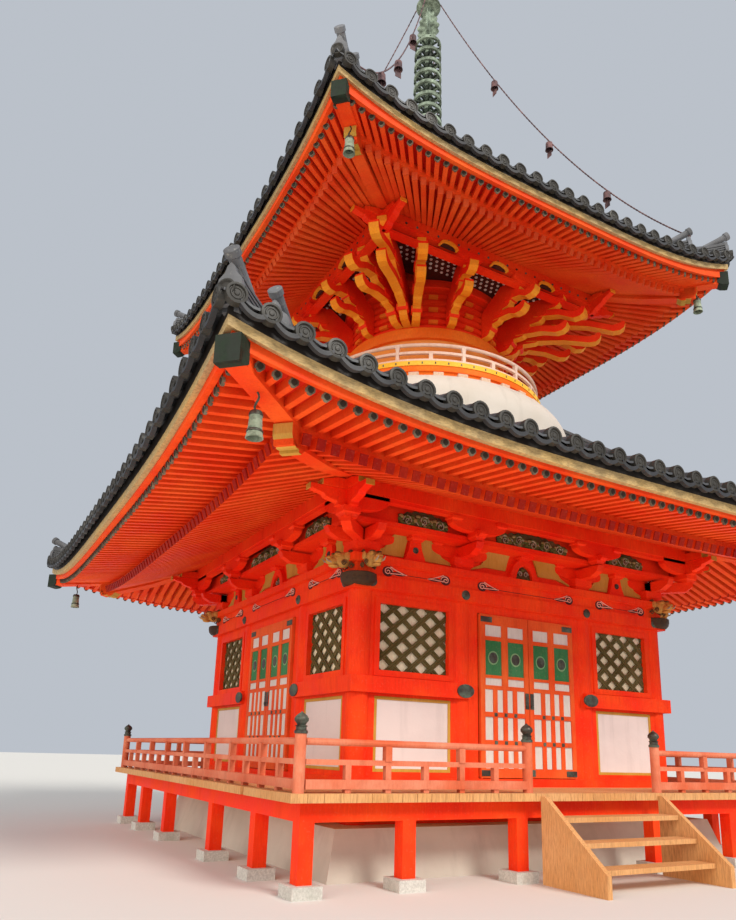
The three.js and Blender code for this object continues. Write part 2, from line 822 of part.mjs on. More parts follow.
// The round wall: plain behind the balcony, then a broad ring beam under the brackets.
function drum() {
  const outline = [
    [DRUM.inner, DOME_TOP],
    [DRUM.r, DOME_TOP],
    [DRUM.r, DRUM.beam[0]],
    [DRUM.beamR, DRUM.beam[0]],
    [DRUM.beamR, DRUM.beam[1]],
    [DRUM.r, DRUM.beam[1]],
  ];
  const top = baseDeck(UPPER, DRUM.r) - SEAT;
  outline.push([DRUM.r, top], [DRUM.inner, top], [DRUM.inner, DOME_TOP]);
  return turned(outline, ROUND_SIDES);
}

// Stepped bracket arms round the drum, tied by a square beam under the purlin. Towards each
// corner one arm runs along the diagonal, with another on each side of it.
function upperBrackets() {
  const line = UPPER.purlin - 70;
  const foot = DRUM.r + SEAT * 2;
  const top = UPPER.purlinBottom;
  const sets = [];
  const corner = Math.PI / 4;
  const turns = [corner - SET_ANGLE, corner - FAN_ANGLE, corner, corner + FAN_ANGLE, corner + SET_ANGLE];
  const angles = [0, 1, 2, 3].flatMap((k) => turns.map((t) => t + (k * Math.PI) / 2));
  for (const angle of angles) {
    const reach = line / Math.max(Math.abs(Math.cos(angle)), Math.abs(Math.sin(angle))) + 40;
    const stride = (reach - foot) / BRACKET.steps;
    const outline = [[foot, BRACKET.foot]];
    for (let i = 0; i < BRACKET.steps; i++) {
      const z = BRACKET.foot + i * BRACKET.rise;
      const nose = foot + stride * (i + 1);
      outline.push([nose - stride * 0.3, z], [nose, z + 70], [nose, z + BRACKET.rise]);
    }
    outline.push([reach, top], [foot + stride * 2.2, top], [foot, BRACKET.foot + 450]);
    sets.push(fin(outline, 120, angle));
  }
  const tie = squareRing([
    [line - 55, top - 210],
    [line + 55, top - 210],
    [line + 55, top - 90],
    [line - 55, top - 90],
  ]);
  return join([tie, ...sets, ...crossing(armNose(UPPER, 460), 100, line)]);
}

// The bronze finial: box, inverted bowl, lotus, nine rings on a shaft, crown plates and jewel.
function finial() {
  const s = FINIAL.shaft;
  const outline = [
    [0, 12400],
    [330, 12400],
    [345, 12520],
    [260, 12680],
    [150, 12730],
    [300, 12800],
    [370, 12900],
    [120, 12880],
    [s, 12900],
  ];
  for (let i = 0; i < FINIAL.rings; i++) {
    const z = FINIAL.firstRing + i * FINIAL.ringStep;
    const r = FINIAL.ringR - i * FINIAL.ringTaper;
    outline.push([s, z - 35], [r, z - 30], [r, z + 30], [s, z + 35]);
  }
  outline.push(
    [s, 15650],
    [150, 15700],
    [210, 15850],
    [s, 15820],
    [s, CROWN_Z - 60],
    [CROWN_R, CROWN_Z - 60],
    [CROWN_R, CROWN_Z],
    [s, CROWN_Z],
    [s, 16500],
    [120, 16620],
    [s, 16740],
    [150, 16880],
    [90, 17020],
    [0, FINIAL_TOP],
  );
  const half = 400;
  return join([
    box(-half, -half, APEX, half, half, 12360),
    box(-half - 30, -half - 30, 12350, half + 30, half + 30, 12410),
    turned(outline, FINIAL.sides),
  ]);
}

// A chain from the crown to a roof corner, sagging a little, with three small bells.
class ChainCurve extends THREE.Curve {
  constructor(from, to, sag) {
    super();
    this.from = from;
    this.to = to;
    this.sag = sag;
  }

  getPoint(t, target = new THREE.Vector3()) {
    return target.lerpVectors(this.from, this.to, t).setZ(target.z - this.sag * 4 * t * (1 - t));
  }
}

function chain(turns) {
  const radius = 12;
  const rim = CROWN_R * Math.cos(Math.PI / FINIAL.sides);
  const reach = (rim + radius - 1) / Math.SQRT2;
  const from = new THREE.Vector3(-reach, -reach, CROWN_Z - 20);
  const crestAt = UPPER.edge - 330;
  const crestTop = bedHeight(UPPER, UPPER_BED, crestAt) + bedRise(UPPER, crestAt) + RIDGE.crest;
  const end = crestAt - 40;
  const to = new THREE.Vector3(-end, -end, crestTop + 14);
  const curve = new ChainCurve(from, to, 850);
  const section = new THREE.Shape();
  section.absarc(0, 0, radius, 0, Math.PI * 2);
  const tube = new THREE.ExtrudeGeometry(section, { steps: 8, extrudePath: curve, curveSegments: 3 });
  const bells = [0.25, 0.5, 0.75].map((t) => {
    const at = curve.getPointAt(t);
    const outline = [
      [0, -330],
      [55, -330],
      [70, -210],
      [0, 14],
    ];
    return turned(outline, 6).translate(at.x, at.y, at.z);
  });
  return quarter(join([tube, ...bells]), turns);
}

place("base_mound", mound(), PLASTER, 0.9);
place("veranda_frame", verandaFrame(), VERMILION);
place("veranda_floor", verandaFloor(), OCHRE);
place("front_steps", frontSteps(), OCHRE);

const r = RAIL_LINE;
const gate = 1010;
const between = [-1840, 0, 1840];
const face = r - 55;
place("railing_front_left", railing([[-face, -r, -gate, -r]], [[-2350, -r]], [[-gate, -r]]), PALE_PINK);
place("railing_front_right", railing([[gate, -r, face, -r]], [[2350, -r]], [[gate, -r]]), PALE_PINK);
place(
  "railing_sides",
  railing(
    [
      [-r, -r, -r, r],
      [-r, r, r, r],
      [r, -r, r, r],
    ],
    between.flatMap((t) => [
      [-r, t],
      [t, r],
      [r, t],
    ]),
    [
      [-r, -r],
      [-r, r],
      [r, r],
      [r, -r],
    ],
  ),
  PALE_PINK,
);
place("room_floor", roomFloor(), OCHRE);

["front", "right", "back", "left"].forEach((side, k) => {
  place(`${side}_corner_column`, quarter(column(-COLUMN_LINE, -COLUMN_LINE), k), VERMILION);
  place(`${side}_door_frame`, quarter(doorFrame(), k), VERMILION);
  place(`${side}_wall_right`, quarter(bayWall(), k), VERMILION);
  place(`${side}_wall_left`, quarter(mirrored(bayWall()), k), VERMILION);
  place(`${side}_waist_beam`, quarter(waistBeam(), k), VERMILION);
  if (side === "front" || side === "left") {
    place(`${side}_door_left`, quarter(doorLeaf(), k), VERMILION);
    place(`${side}_door_right`, quarter(mirrored(doorLeaf()), k), VERMILION);
  } else {
    place(`${side}_door_pair`, quarter(join([doorLeaf(1), mirrored(doorLeaf(1))]), k), VERMILION);
  }
});
place("head_beam", headBeam(), VERMILION);
place("column_tie", columnTie(), VERMILION);

place("lower_brackets", lowerBrackets(), VERMILION);
place("lower_purlin", purlin(LOWER), VERMILION);
place("lower_eaves", eaves(LOWER), VERMILION);
place("lower_eave_board", eaveBoard(LOWER), OCHRE);
place("lower_roof", lowerRoof(), TILE, 0.5);
place("dome", dome(), PLASTER, 0.8);
place("balcony", balcony(), OCHRE);
place("balcony_railing", balconyRailing(), PALE_PINK);
place("drum", drum(), VERMILION);
place("upper_brackets", upperBrackets(), VERMILION);
place("upper_purlin", purlin(UPPER), VERMILION);
place("upper_eaves", eaves(UPPER), VERMILION);
place("upper_eave_board", eaveBoard(UPPER), OCHRE);
place("upper_roof", upperRoof(), TILE, 0.5);
place("finial", finial(), BRONZE, 0.5, 0.6);
["front", "right", "back", "left"].forEach((side, k) => place(`chain_${side}`, chain(k), BRONZE, 0.5, 0.6));

export default pagoda;
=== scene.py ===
import math

import bmesh
import bpy
import numpy as np
from mathutils import Matrix


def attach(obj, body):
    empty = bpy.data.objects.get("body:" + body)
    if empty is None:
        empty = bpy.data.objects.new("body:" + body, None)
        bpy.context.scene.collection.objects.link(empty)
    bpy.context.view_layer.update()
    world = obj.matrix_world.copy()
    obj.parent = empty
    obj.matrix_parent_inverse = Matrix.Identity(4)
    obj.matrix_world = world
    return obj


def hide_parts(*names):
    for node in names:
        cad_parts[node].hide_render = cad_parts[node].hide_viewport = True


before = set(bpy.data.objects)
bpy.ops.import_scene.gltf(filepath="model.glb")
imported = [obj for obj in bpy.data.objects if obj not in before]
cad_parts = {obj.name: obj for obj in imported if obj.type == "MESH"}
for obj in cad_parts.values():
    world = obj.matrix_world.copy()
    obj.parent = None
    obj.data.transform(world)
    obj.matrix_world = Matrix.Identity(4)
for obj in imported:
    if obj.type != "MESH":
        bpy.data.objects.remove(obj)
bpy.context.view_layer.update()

# The viewpoint: a wide lens at eye height in front of the near corner, pitched up at the eaves.
# The rows of the matrix are the camera's right, up and backward directions and its place.
camera = bpy.data.objects.new("camera", bpy.data.cameras.new("camera"))
bpy.context.collection.objects.link(camera)
camera.matrix_world = Matrix(
    (
        (0.86839, -0.15077, -0.47240, -6.610),
        (-0.49511, -0.21064, -0.84291, -10.206),
        (0.02759, 0.96586, -0.25757, 1.284),
        (0, 0, 0, 1),
    )
)
camera.data.lens = 29.35
camera.data.sensor_width = 36
camera.data.shift_x = -0.0082
camera.data.shift_y = 0.0993
camera.data.clip_end = 500
bpy.context.scene.camera = camera

# The studio: a pale floor that runs out of view, an even pale surround, one broad soft lamp on the
# front and a weaker one on the left side, both high, and a warm one from below, as the ground throws
# light up under the eaves. The floor lets that one through.
floor_mesh = bpy.data.meshes.new("studio_floor")
reach = 90
floor_corners = [(-reach, -reach, 0), (reach, -reach, 0), (reach, reach, 0), (-reach, reach, 0)]
floor_mesh.from_pydata(floor_corners, [], [(0, 1, 2, 3)])
studio_floor = bpy.data.objects.new("studio_floor", floor_mesh)
bpy.context.collection.objects.link(studio_floor)
pale = bpy.data.materials.new("studio_floor")
pale.use_nodes = True
pale_shader = pale.node_tree.nodes["Principled BSDF"].inputs
pale_shader["Base Color"].default_value = (0.62, 0.61, 0.59, 1)
pale_shader["Roughness"].default_value = 0.9
floor_mesh.materials.append(pale)
studio_floor.visible_shadow = False
surround = bpy.data.worlds.new("surround")
surround.use_nodes = True
background = surround.node_tree.nodes["Background"].inputs
background["Color"].default_value = (0.80, 0.86, 0.95, 1)
background["Strength"].default_value = 0.62
bpy.context.scene.world = surround
lamps = [("key", 2.9, 20, 52, 14, (1.0, 0.95, 0.86)), ("fill", 1.9, 60, 66, -62, (1.0, 0.90, 0.74))]
lamps += [("bounce", 2.4, 100, 152, -40, (1.0, 0.84, 0.66))]
for lamp_name, energy, angle, tilt, turn, tint in lamps:
    lamp = bpy.data.objects.new(lamp_name, bpy.data.lights.new(lamp_name, "SUN"))
    lamp.data.energy = energy
    lamp.data.color = tint
    lamp.data.angle = math.radians(angle)
    lamp.rotation_euler = (math.radians(tilt), 0, math.radians(turn))
    bpy.context.collection.objects.link(lamp)
bpy.context.scene.view_settings.view_transform = "Standard"


# The timber frame: round columns, sills, beams and boards of cypress, painted vermilion. The paint
# has chalked and faded unevenly, rain has left darker runs, and the grain shows through.
class Value:
    """One socket of a material. The operators add Math nodes, with plain numbers on either side."""

    def __init__(self, tree, socket):
        self.tree = tree
        self.socket = socket

    def math(self, operation, first, second):
        """One Math node on two values or plain numbers."""
        node = self.tree.nodes.new("ShaderNodeMath")
        node.operation = operation
        for slot, value in zip(node.inputs, (first, second)):
            if isinstance(value, Value):
                self.tree.links.new(value.socket, slot)
            else:
                slot.default_value = value
        return Value(self.tree, node.outputs[0])

    def __add__(self, other):
        return self.math("ADD", self, other)

    def __radd__(self, other):
        return self.math("ADD", other, self)

    def __rsub__(self, other):
        return self.math("SUBTRACT", other, self)

    def __mul__(self, other):
        return self.math("MULTIPLY", self, other)

    def over(self, low, high):
        """0 below low, 1 above high, and a straight rise between them."""
        node = self.tree.nodes.new("ShaderNodeMapRange")
        node.inputs["From Min"].default_value = low
        node.inputs["From Max"].default_value = high
        self.tree.links.new(self.socket, node.inputs["Value"])
        return Value(self.tree, node.outputs[0])


class Finish:
    """A material under way: its shader, its Object coordinates, and one method for any node."""

    def __init__(self, name, roughness=0.6, metallic=0.0):
        self.material = bpy.data.materials.new(name)
        self.material.use_nodes = True
        self.tree = self.material.node_tree
        self.shader = self.tree.nodes["Principled BSDF"]
        self.shader.inputs["Roughness"].default_value = roughness
        self.shader.inputs["Metallic"].default_value = metallic
        self.place = self.node("TexCoord", output="Object")

    def feed(self, slot, value):
        """Links a value to a socket, or sets the socket to a plain one."""
        if isinstance(value, Value):
            self.tree.links.new(value.socket, slot)
        else:
            slot.default_value = value

    def node(self, kind, settings=(), sockets=(), output=0):
        """Any shader node, set up and fed, as its output."""
        made = self.tree.nodes.new("ShaderNode" + kind)
        for key, value in dict(settings).items():
            setattr(made, key, value)
        for key, value in dict(sockets).items():
            self.feed(made.inputs[key], value)
        return Value(self.tree, made.outputs[output])

    def stretched(self, scale):
        """The object's coordinates, scaled along each axis."""
        return self.node("Mapping", {}, {"Vector": self.place, "Scale": scale})

    def noise(self, scale, detail=4.0, stretch=(1, 1, 1), roughness=0.55):
        """Noise over the coordinates, which are scaled by stretch and then by scale."""
        sockets = {"Vector": self.stretched(stretch), "Scale": scale, "Detail": detail, "Roughness": roughness}
        return self.node("TexNoise", {}, sockets)

    def mix(self, factor, first, second, blend="MIX"):
        """A colour between two, or the second blended over the first."""
        wide = [v if isinstance(v, Value) else (*v, 1) for v in (first, second)]
        settings = {"data_type": "RGBA", "blend_type": blend}
        return self.node("Mix", settings, {0: factor, 6: wide[0], 7: wide[1]}, output=2)

    def colour(self, value):
        """Feeds the base colour."""
        self.feed(self.shader.inputs["Base Color"], value)

    def rough(self, value):
        """Feeds the roughness."""
        self.feed(self.shader.inputs["Roughness"], value)

    def bump(self, height, depth, strength=0.6):
        """Feeds the normal from a height between 0 and 1, times depth in metres."""
        sockets = {"Height": height, "Distance": depth, "Strength": strength}
        self.feed(self.shader.inputs["Normal"], self.node("Bump", {}, sockets))


def painted(name, fresh, faded, grime, grain=(9, 9, 1), worn=0.5):
    """Old paint on timber: fresh and faded patches, dark runs, and grain that follows one axis."""
    paint = Finish(name)
    paint.shader.inputs["Specular IOR Level"].default_value = 0.1
    patches = paint.noise(1.6, 5).over(0.38, 0.66)
    fibres = paint.noise(7, 6, grain, 0.65)
    runs = paint.noise(3.2, 5, (1.6, 1.6, 0.22)).over(0.56, 0.78)
    specks = paint.noise(38, 3).over(0.58, 0.72)
    tone = paint.mix(patches, fresh, faded)
    tone = paint.mix(fibres.over(0.35, 0.7) * 0.35, tone, tuple(c * 0.62 for c in fresh))
    tone = paint.mix(runs * worn, tone, grime)
    tone = paint.mix(specks * (0.22 * worn), tone, (0.62, 0.36, 0.24))
    paint.colour(tone)
    paint.rough(0.5 + patches * 0.2 + runs * 0.1)
    paint.bump(fibres * 0.7 + specks * 0.3, 0.003)
    return paint.material


def dress(material, *nodes):
    """Gives its material to each CAD node that shows as it is."""
    for node in nodes:
        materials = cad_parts[node].data.materials
        materials.clear()
        materials.append(material)


side_names = ("front", "right", "back", "left")
red_paint = painted("red_paint", (0.88, 0.030, 0.005), (0.93, 0.070, 0.009), (0.46, 0.02, 0.007), worn=0.35)
dress(red_paint, "veranda_frame", "head_beam", "column_tie", "lower_purlin", "upper_purlin")
for side in side_names:
    dress(red_paint, *(f"{side}_{node}" for node in ("door_frame", "wall_right", "wall_left", "waist_beam")))


def closed_grid(points, loop_rows=True, loop_columns=True):
    """Faces of a grid of points, rows by columns, joined end to end along either way."""
    rows, columns = points.shape[:2]
    i = np.arange(rows if loop_rows else rows - 1)[:, None]
    j = np.arange(columns if loop_columns else columns - 1)[None, :]
    near, far = i * columns, ((i + 1) % rows) * columns
    quads = np.stack([near + j, near + (j + 1) % columns, far + (j + 1) % columns, far + j], -1)
    return points.reshape(-1, 3), [tuple(q) for q in quads.reshape(-1, 4).tolist()]


def turned(profile, sides=48, centre=(0, 0)):
    """A body of revolution: each profile point (radius, height) goes round at angle 2 pi i / sides."""
    angle = np.arange(sides) * (2 * np.pi / sides)
    radius, height = np.asarray(profile, float).T
    ring = np.stack([np.cos(angle), np.sin(angle)], -1)
    points = np.zeros((len(profile), sides, 3))
    points[..., :2] = radius[:, None, None] * ring[None] + np.asarray(centre)
    points[..., 2] = height[:, None]
    return closed_grid(points, loop_rows=False)


def merged(parts):
    """Several shapes, each its points and its faces, as one."""
    points, faces, start = [], [], 0
    for shape_points, shape_faces in parts:
        points.append(np.asarray(shape_points, float))
        faces += [tuple(i + start for i in face) for face in shape_faces]
        start += len(shape_points)
    return np.concatenate(points), faces


def all_round(shape, turns=range(4)):
    """A shape or list of shapes, and its copies turned by quarter turns: (x, y) to (-y, x)."""
    points, faces = merged(shape) if isinstance(shape, list) else shape
    copies = []
    for k in turns:
        c, s = ((1, 0), (0, 1), (-1, 0), (0, -1))[k]
        copy = points.copy()
        copy[:, 0], copy[:, 1] = c * points[:, 0] - s * points[:, 1], s * points[:, 0] + c * points[:, 1]
        copies.append((copy, faces))
    return merged(copies)


def piece(name, shape, material, body="building", smooth=False, replaces=()):
    """A new piece from a shape or a list of shapes, facing outwards, in its material and on its body."""
    points, faces = merged(shape) if isinstance(shape, list) else shape
    mesh = bpy.data.meshes.new(name)
    mesh.from_pydata(points.tolist(), [], faces)
    made = bpy.data.objects.new(name, mesh)
    bpy.context.collection.objects.link(made)
    mesh.materials.append(material)
    work = bmesh.new()
    work.from_mesh(mesh)
    bmesh.ops.remove_doubles(work, verts=work.verts, dist=0.00002)
    bmesh.ops.recalc_face_normals(work, faces=work.faces)
    work.to_mesh(mesh)
    work.free()
    if smooth:
        mesh.shade_smooth()
        mesh.set_sharp_from_angle(angle=math.radians(38))
    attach(made, body)
    if replaces:
        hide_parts(*replaces)
    return made


def box(x0, x1, z0, z1):
    """The outline of an upright rectangle."""
    return [(x0, z0), (x1, z0), (x1, z1), (x0, z1)]


column_line, door_line, column_radius, column_foot, column_head = 2.46, 1.04, 0.141, 0.5, 3.31
column_lines = [-column_line, -door_line, door_line, column_line]
shaft = box(0, column_radius, column_foot, column_head)
columns = [turned(shaft, 40, (x, -column_line)) for x in column_lines[:3]]
corner_columns = [f"{side}_corner_column" for side in side_names]
piece("columns", all_round(columns), red_paint, smooth=True, replaces=corner_columns)


# The mound under the room is built of stone and faced with lime plaster, off-white, with damp stains
# and streaks. Rain has splashed its foot grey.
def plastered(name, clean, stain, foot):
    """Lime plaster with clouds of stain, streaks that run down, and splashes up to foot + 0.5 m."""
    plaster = Finish(name, 0.85)
    clouds = plaster.noise(0.9, 6, (1, 1, 1.6)).over(0.42, 0.7)
    streaks = plaster.noise(5, 4, (1, 1, 0.12)).over(0.55, 0.8)
    height = plaster.node("SeparateXYZ", {}, {"Vector": plaster.place}, output=2)
    low = 1 - (height + plaster.noise(3, 4) * 0.3).over(foot, foot + 0.5)
    tone = plaster.mix(clouds * 0.6, clean, stain)
    tone = plaster.mix(streaks * 0.35, tone, tuple(c * 0.6 for c in stain))
    tone = plaster.mix(low * 0.6, tone, (0.30, 0.27, 0.23))
    plaster.colour(tone)
    plaster.bump(plaster.noise(24, 5), 0.004, 0.4)
    return plaster.material


mound_plaster = plastered("mound_plaster", (0.66, 0.61, 0.53), (0.48, 0.43, 0.36), 0.05)
dress(mound_plaster, "base_mound")


# The pads under the veranda posts are square blocks of pale granite with lichen on them. They are
# set into the ground, and each post stands on its own.
def blocks(lows, highs):
    """Upright blocks, each from its lowest to its highest corner."""
    lows, highs = np.asarray(lows, float), np.asarray(highs, float)
    corner = np.array([[0, 0, 0], [1, 0, 0], [1, 1, 0], [0, 1, 0], [0, 0, 1], [1, 0, 1], [1, 1, 1], [0, 1, 1]])
    points = lows[:, None] + corner[None] * (highs - lows)[:, None]
    sides = np.array([[0, 3, 2, 1], [4, 5, 6, 7], [0, 1, 5, 4], [1, 2, 6, 5], [2, 3, 7, 6], [3, 0, 4, 7]])
    quads = (np.arange(len(lows)) * 8)[:, None, None] + sides[None]
    return points.reshape(-1, 3), [tuple(q) for q in quads.reshape(-1, 4).tolist()]


def xyz(x, y, z):
    """Points with these coordinates, each of them one number or a row of numbers."""
    return np.stack(np.broadcast_arrays(x, y, z), -1).astype(float)


granite = Finish("granite", 0.8)
crystals = granite.noise(60, 3)
lichen = granite.noise(2.5, 5).over(0.5, 0.7)
stone = granite.mix(crystals.over(0.35, 0.65), (0.42, 0.40, 0.37), (0.58, 0.56, 0.52))
granite.colour(granite.mix(lichen * 0.6, stone, (0.30, 0.30, 0.25)))
granite.bump(crystals, 0.002)
post_line, pad_half, pad_top = 3.56, 0.15, 0.11
pad_low = xyz(np.array([-post_line, *column_lines]) - pad_half, -post_line - pad_half, 0)
pads = blocks(pad_low, pad_low + (2 * pad_half, 2 * pad_half, pad_top))
piece("post_pads", all_round(pads), granite.material)


# The veranda is decked with cypress boards laid square to the wall, their end grain bare at the edge.
# They were once painted ochre and have weathered to a pale brown.
def weathered(name, bare, stain, dark, grain=(1, 9, 9)):
    """Bare weathered timber with stains and dark cracks along the grain."""
    timber = Finish(name, 0.75)
    patches = timber.noise(1.4, 5).over(0.35, 0.7)
    fibres = timber.noise(8, 7, grain, 0.7)
    tone = timber.mix(patches, bare, stain)
    tone = timber.mix(fibres.over(0.42, 0.72) * 0.7, tone, dark)
    timber.colour(tone)
    timber.rough(0.65 + fibres * 0.25)
    timber.bump(fibres, 0.004)
    return timber.material


def bars(starts, ends, profile, up=(0, 0, 1)):
    """Straight bars: a closed profile (sideways, upwards) is carried from each start to its end."""
    starts, ends = np.atleast_2d(np.asarray(starts, float)), np.atleast_2d(np.asarray(ends, float))
    along = ends - starts
    along /= np.linalg.norm(along, axis=1, keepdims=True)
    side = np.cross(along, np.broadcast_to(np.asarray(up, float), along.shape))
    side /= np.linalg.norm(side, axis=1, keepdims=True)
    lift = np.cross(side, along)
    outline = np.asarray(profile, float)
    ring = side[:, None] * outline[None, :, :1] + lift[:, None] * outline[None, :, 1:]
    points = np.stack([starts[:, None] + ring, ends[:, None] + ring], 1).reshape(-1, 3)
    m = len(outline)
    k = np.arange(m)
    walls = np.stack([k, (k + 1) % m, (k + 1) % m + m, k + m], -1)
    first = (np.arange(len(starts)) * 2 * m)[:, None, None]
    faces = [tuple(q) for q in (first + walls[None]).reshape(-1, 4).tolist()]
    for cap in (k[::-1], k + m):
        faces += [tuple(q) for q in (first[:, :, 0] + cap[None]).tolist()]
    return points, faces


def plank(width, low, high):
    """The profile of a bar of that width between two heights."""
    return box(-width / 2, width / 2, low, high)


deck_timber = weathered("deck_timber", (0.58, 0.27, 0.085), (0.66, 0.36, 0.15), (0.22, 0.09, 0.03), (9, 9, 1))
dress(deck_timber, "front_steps", "room_floor")
deck_edge, deck_inner, deck_base, deck_depth = 3.81, 2.601, 0.82, 0.08
board_width, board_gap, full_step, short_step = 0.166, 0.005, 0.16565, 0.16516


def laid(half_run, step):
    """Boards that end at the deck's front edge, side by side between two places along it."""
    lines = np.arange(-half_run + board_width / 2, half_run, step)
    starts, ends = xyz(lines, -deck_edge, deck_base), xyz(lines, -deck_inner, deck_base)
    return bars(starts, ends, plank(board_width - board_gap, 0, deck_depth))


boards = merged([all_round(laid(deck_edge, full_step), (0, 2)), all_round(laid(2.6, short_step), (1, 3))])
piece("veranda_boards", boards, deck_timber, replaces=["veranda_floor"])


# The railing: a round top rail, a square middle one and a ground sill, on short struts, with tall
# round posts at the corners and the gate. Its red paint has faded to a dusty pink.
pink_timber = painted("pink_timber", (0.60, 0.12, 0.05), (0.68, 0.25, 0.15), (0.34, 0.07, 0.035), (6, 6, 2), 0.5)
rail_plane, strut_spacing, rail_radius = 3.69, 0.46, 0.033
post_profile = box(0, 0.055, 0.9, 1.44)


def arc(x, z, across, upwards, angles):
    """Outline points on an ellipse: (x + across cos a, z + upwards sin a)."""
    return [(x + across * math.cos(a), z + upwards * math.sin(a)) for a in angles]


round_rail = arc(0, 0, rail_radius, rail_radius, np.arange(12) * math.pi / 6)


def rail_run(x0, x1):
    """One straight railing along the front between two places, with struts about evenly apart."""
    y = -rail_plane
    count = max(2, round((x1 - x0) / strut_spacing))
    places = np.linspace(x0, x1, count + 1)[1:-1]
    tall = places[1::2]
    parts = [
        bars([(x0, y, 1.357)], [(x1, y, 1.357)], round_rail),
        bars([(x0, y, 1.15)], [(x1, y, 1.15)], plank(0.05, 0, 0.05)),
        bars([(x0, y, 0.905)], [(x1, y, 0.905)], plank(0.085, 0.03, 0.115)),
    ]
    for spots, width, low, high in ((places, 0.06, 0.9, 1.16), (tall, 0.07, 1.19, 1.335)):
        feet = xyz(spots, y, low)
        parts.append(bars(feet, feet + (0, 0, high - low), plank(width, -width / 2, width / 2), (0, 1, 0)))
    return merged(parts)


def at_posts(profile, x, sides=20):
    """A round body over the railing's line, at a place along it."""
    return turned(profile, sides, (x, -rail_plane))


left_run = merged([rail_run(-3.635, -1.01), at_posts(post_profile, -1.0)])
right_run = merged([rail_run(1.01, 3.635), at_posts(post_profile, 1.0)])
corner_post = all_round(at_posts(post_profile, -rail_plane))
side_runs = merged([all_round(rail_run(-rail_plane, rail_plane), (1, 2, 3)), corner_post])
piece("railing_left_of_steps", left_run, pink_timber, replaces=["railing_front_left"])
piece("railing_right_of_steps", right_run, pink_timber, replaces=["railing_front_right"])
piece("railing_round_sides", side_runs, pink_timber, replaces=["railing_sides"])


# Each tall post has an onion-shaped cap of cast bronze, black with age and green in its hollows. It
# is slipped over the head of the post.
def metal(name, body, patina, dark, roughness=0.45, metallic=0.7, cover=(0.42, 0.62)):
    """Cast metal that has tarnished: the patina lies in patches, and dark grime in the fine noise."""
    cast = Finish(name, roughness, metallic)
    cast.shader.inputs["Specular IOR Level"].default_value = 0.25
    green = cast.noise(6, 6).over(*cover)
    soot = cast.noise(22, 4).over(0.5, 0.7)
    tone = cast.mix(green, body, patina)
    cast.colour(cast.mix(soot * 0.5, tone, dark))
    cast.rough(roughness + green * 0.35)
    cast.feed(cast.shader.inputs["Metallic"], metallic - green * (metallic * 0.8))
    cast.bump(cast.noise(40, 4), 0.002, 0.4)
    return cast.material


black_bronze = metal("black_bronze", (0.07, 0.06, 0.05), (0.10, 0.14, 0.11), (0.02, 0.02, 0.02))
onion = [(0, 1.425), (0.063, 1.425), (0.063, 1.45), (0.05, 1.458), (0.05, 1.486), (0.061, 1.492), (0.04, 1.503)]
onion += [(0.047, 1.517), (0.066, 1.54), (0.067, 1.562), (0.05, 1.588), (0.024, 1.607), (0.008, 1.62), (0, 1.63)]
caps = [all_round(at_posts(onion, -rail_plane, 24)), *(at_posts(onion, x, 24) for x in (-1.0, 1.0))]
piece("post_caps", caps, black_bronze, smooth=True)


# Each side bay has a plastered panel below the waist rail, in a thin ochre frame. Both are let into
# the timber of the wall.
def mirrored(shape, x=0.0):
    """The shape's mirror image over the upright plane at x, from left to right."""
    points, faces = shape
    return points * np.array([-1, 1, 1]) + np.array([2 * x, 0, 0]), [face[::-1] for face in faces]


def both_bays(shape):
    """The right bay's shape and its mirror image in the left bay, on all four sides."""
    return all_round([shape, mirrored(shape)])


window_left, window_right, window_low, window_high = 1.215, 2.285, 2.165, 3.04
panel_plaster = plastered("panel_plaster", (0.70, 0.62, 0.60), (0.56, 0.48, 0.47), -2)
ochre_paint = painted("ochre_paint", (0.52, 0.27, 0.035), (0.60, 0.36, 0.08), (0.26, 0.12, 0.03), (9, 9, 1))
panel = blocks([(window_left + 0.003, -2.547, 1.063)], [(window_right - 0.003, -2.53, 1.902)])
piece("wall_panels", both_bays(panel), panel_plaster)


def border(x0, x1, z0, z1, width, y0, y1):
    """Four strips round the inside of an upright rectangle, as one frame."""
    lows = [(x0, y0, z0), (x0, y0, z1 - width), (x0, y0, z0 + width), (x1 - width, y0, z0 + width)]
    highs = [(x1, y1, z0 + width), (x1, y1, z1), (x0 + width, y1, z1 - width), (x1, y1, z1 - width)]
    return blocks(lows, highs)


panel_frame = border(window_left + 0.002, window_right - 0.002, 1.062, 1.903, 0.035, -2.556, -2.53)
piece("panel_frames", both_bays(panel_frame), ochre_paint)


# Over it is a window of crossed slats, olive brown, each with a groove down its middle, halved
# together in a red frame. A cream board closes it from behind.
slat_paint = painted("slat_paint", (0.085, 0.065, 0.018), (0.14, 0.115, 0.045), (0.05, 0.035, 0.015), (5, 5, 5))
cream_board = weathered("cream_board", (0.80, 0.70, 0.48), (0.86, 0.80, 0.62), (0.60, 0.48, 0.30), (7, 7, 1))
slat_step, slat_rise = 0.27, 0.227
slat = [(-0.03, 0), (0.03, 0), (0.03, 0.016), (0.007, 0.016), (0, 0.008), (-0.007, 0.016), (-0.03, 0.016)]
window_width, window_height, shortest_slat = window_right - window_left, window_high - window_low, 0.06
slope = slat_rise / slat_step
sill_x = np.arange(-8, 9) * slat_step + 0.5 * slat_step
enter = np.maximum(0, -sill_x)
leave = np.minimum(window_width - sill_x, window_height / slope)
kept = leave - enter > shortest_slat
x_in, x_out = (sill_x + enter)[kept], (sill_x + leave)[kept]
z_in, z_out = (enter * slope)[kept], (leave * slope)[kept]
slats = []
for a, b, y in ((x_in, x_out, -2.494), (window_width - x_in, window_width - x_out, -2.500)):
    starts = xyz(window_left + a, y, window_low + z_in)
    slats.append(bars(starts, xyz(window_left + b, y, window_low + z_out), slat, (0, -1, 0)))
piece("window_slats", both_bays(merged(slats)), slat_paint)
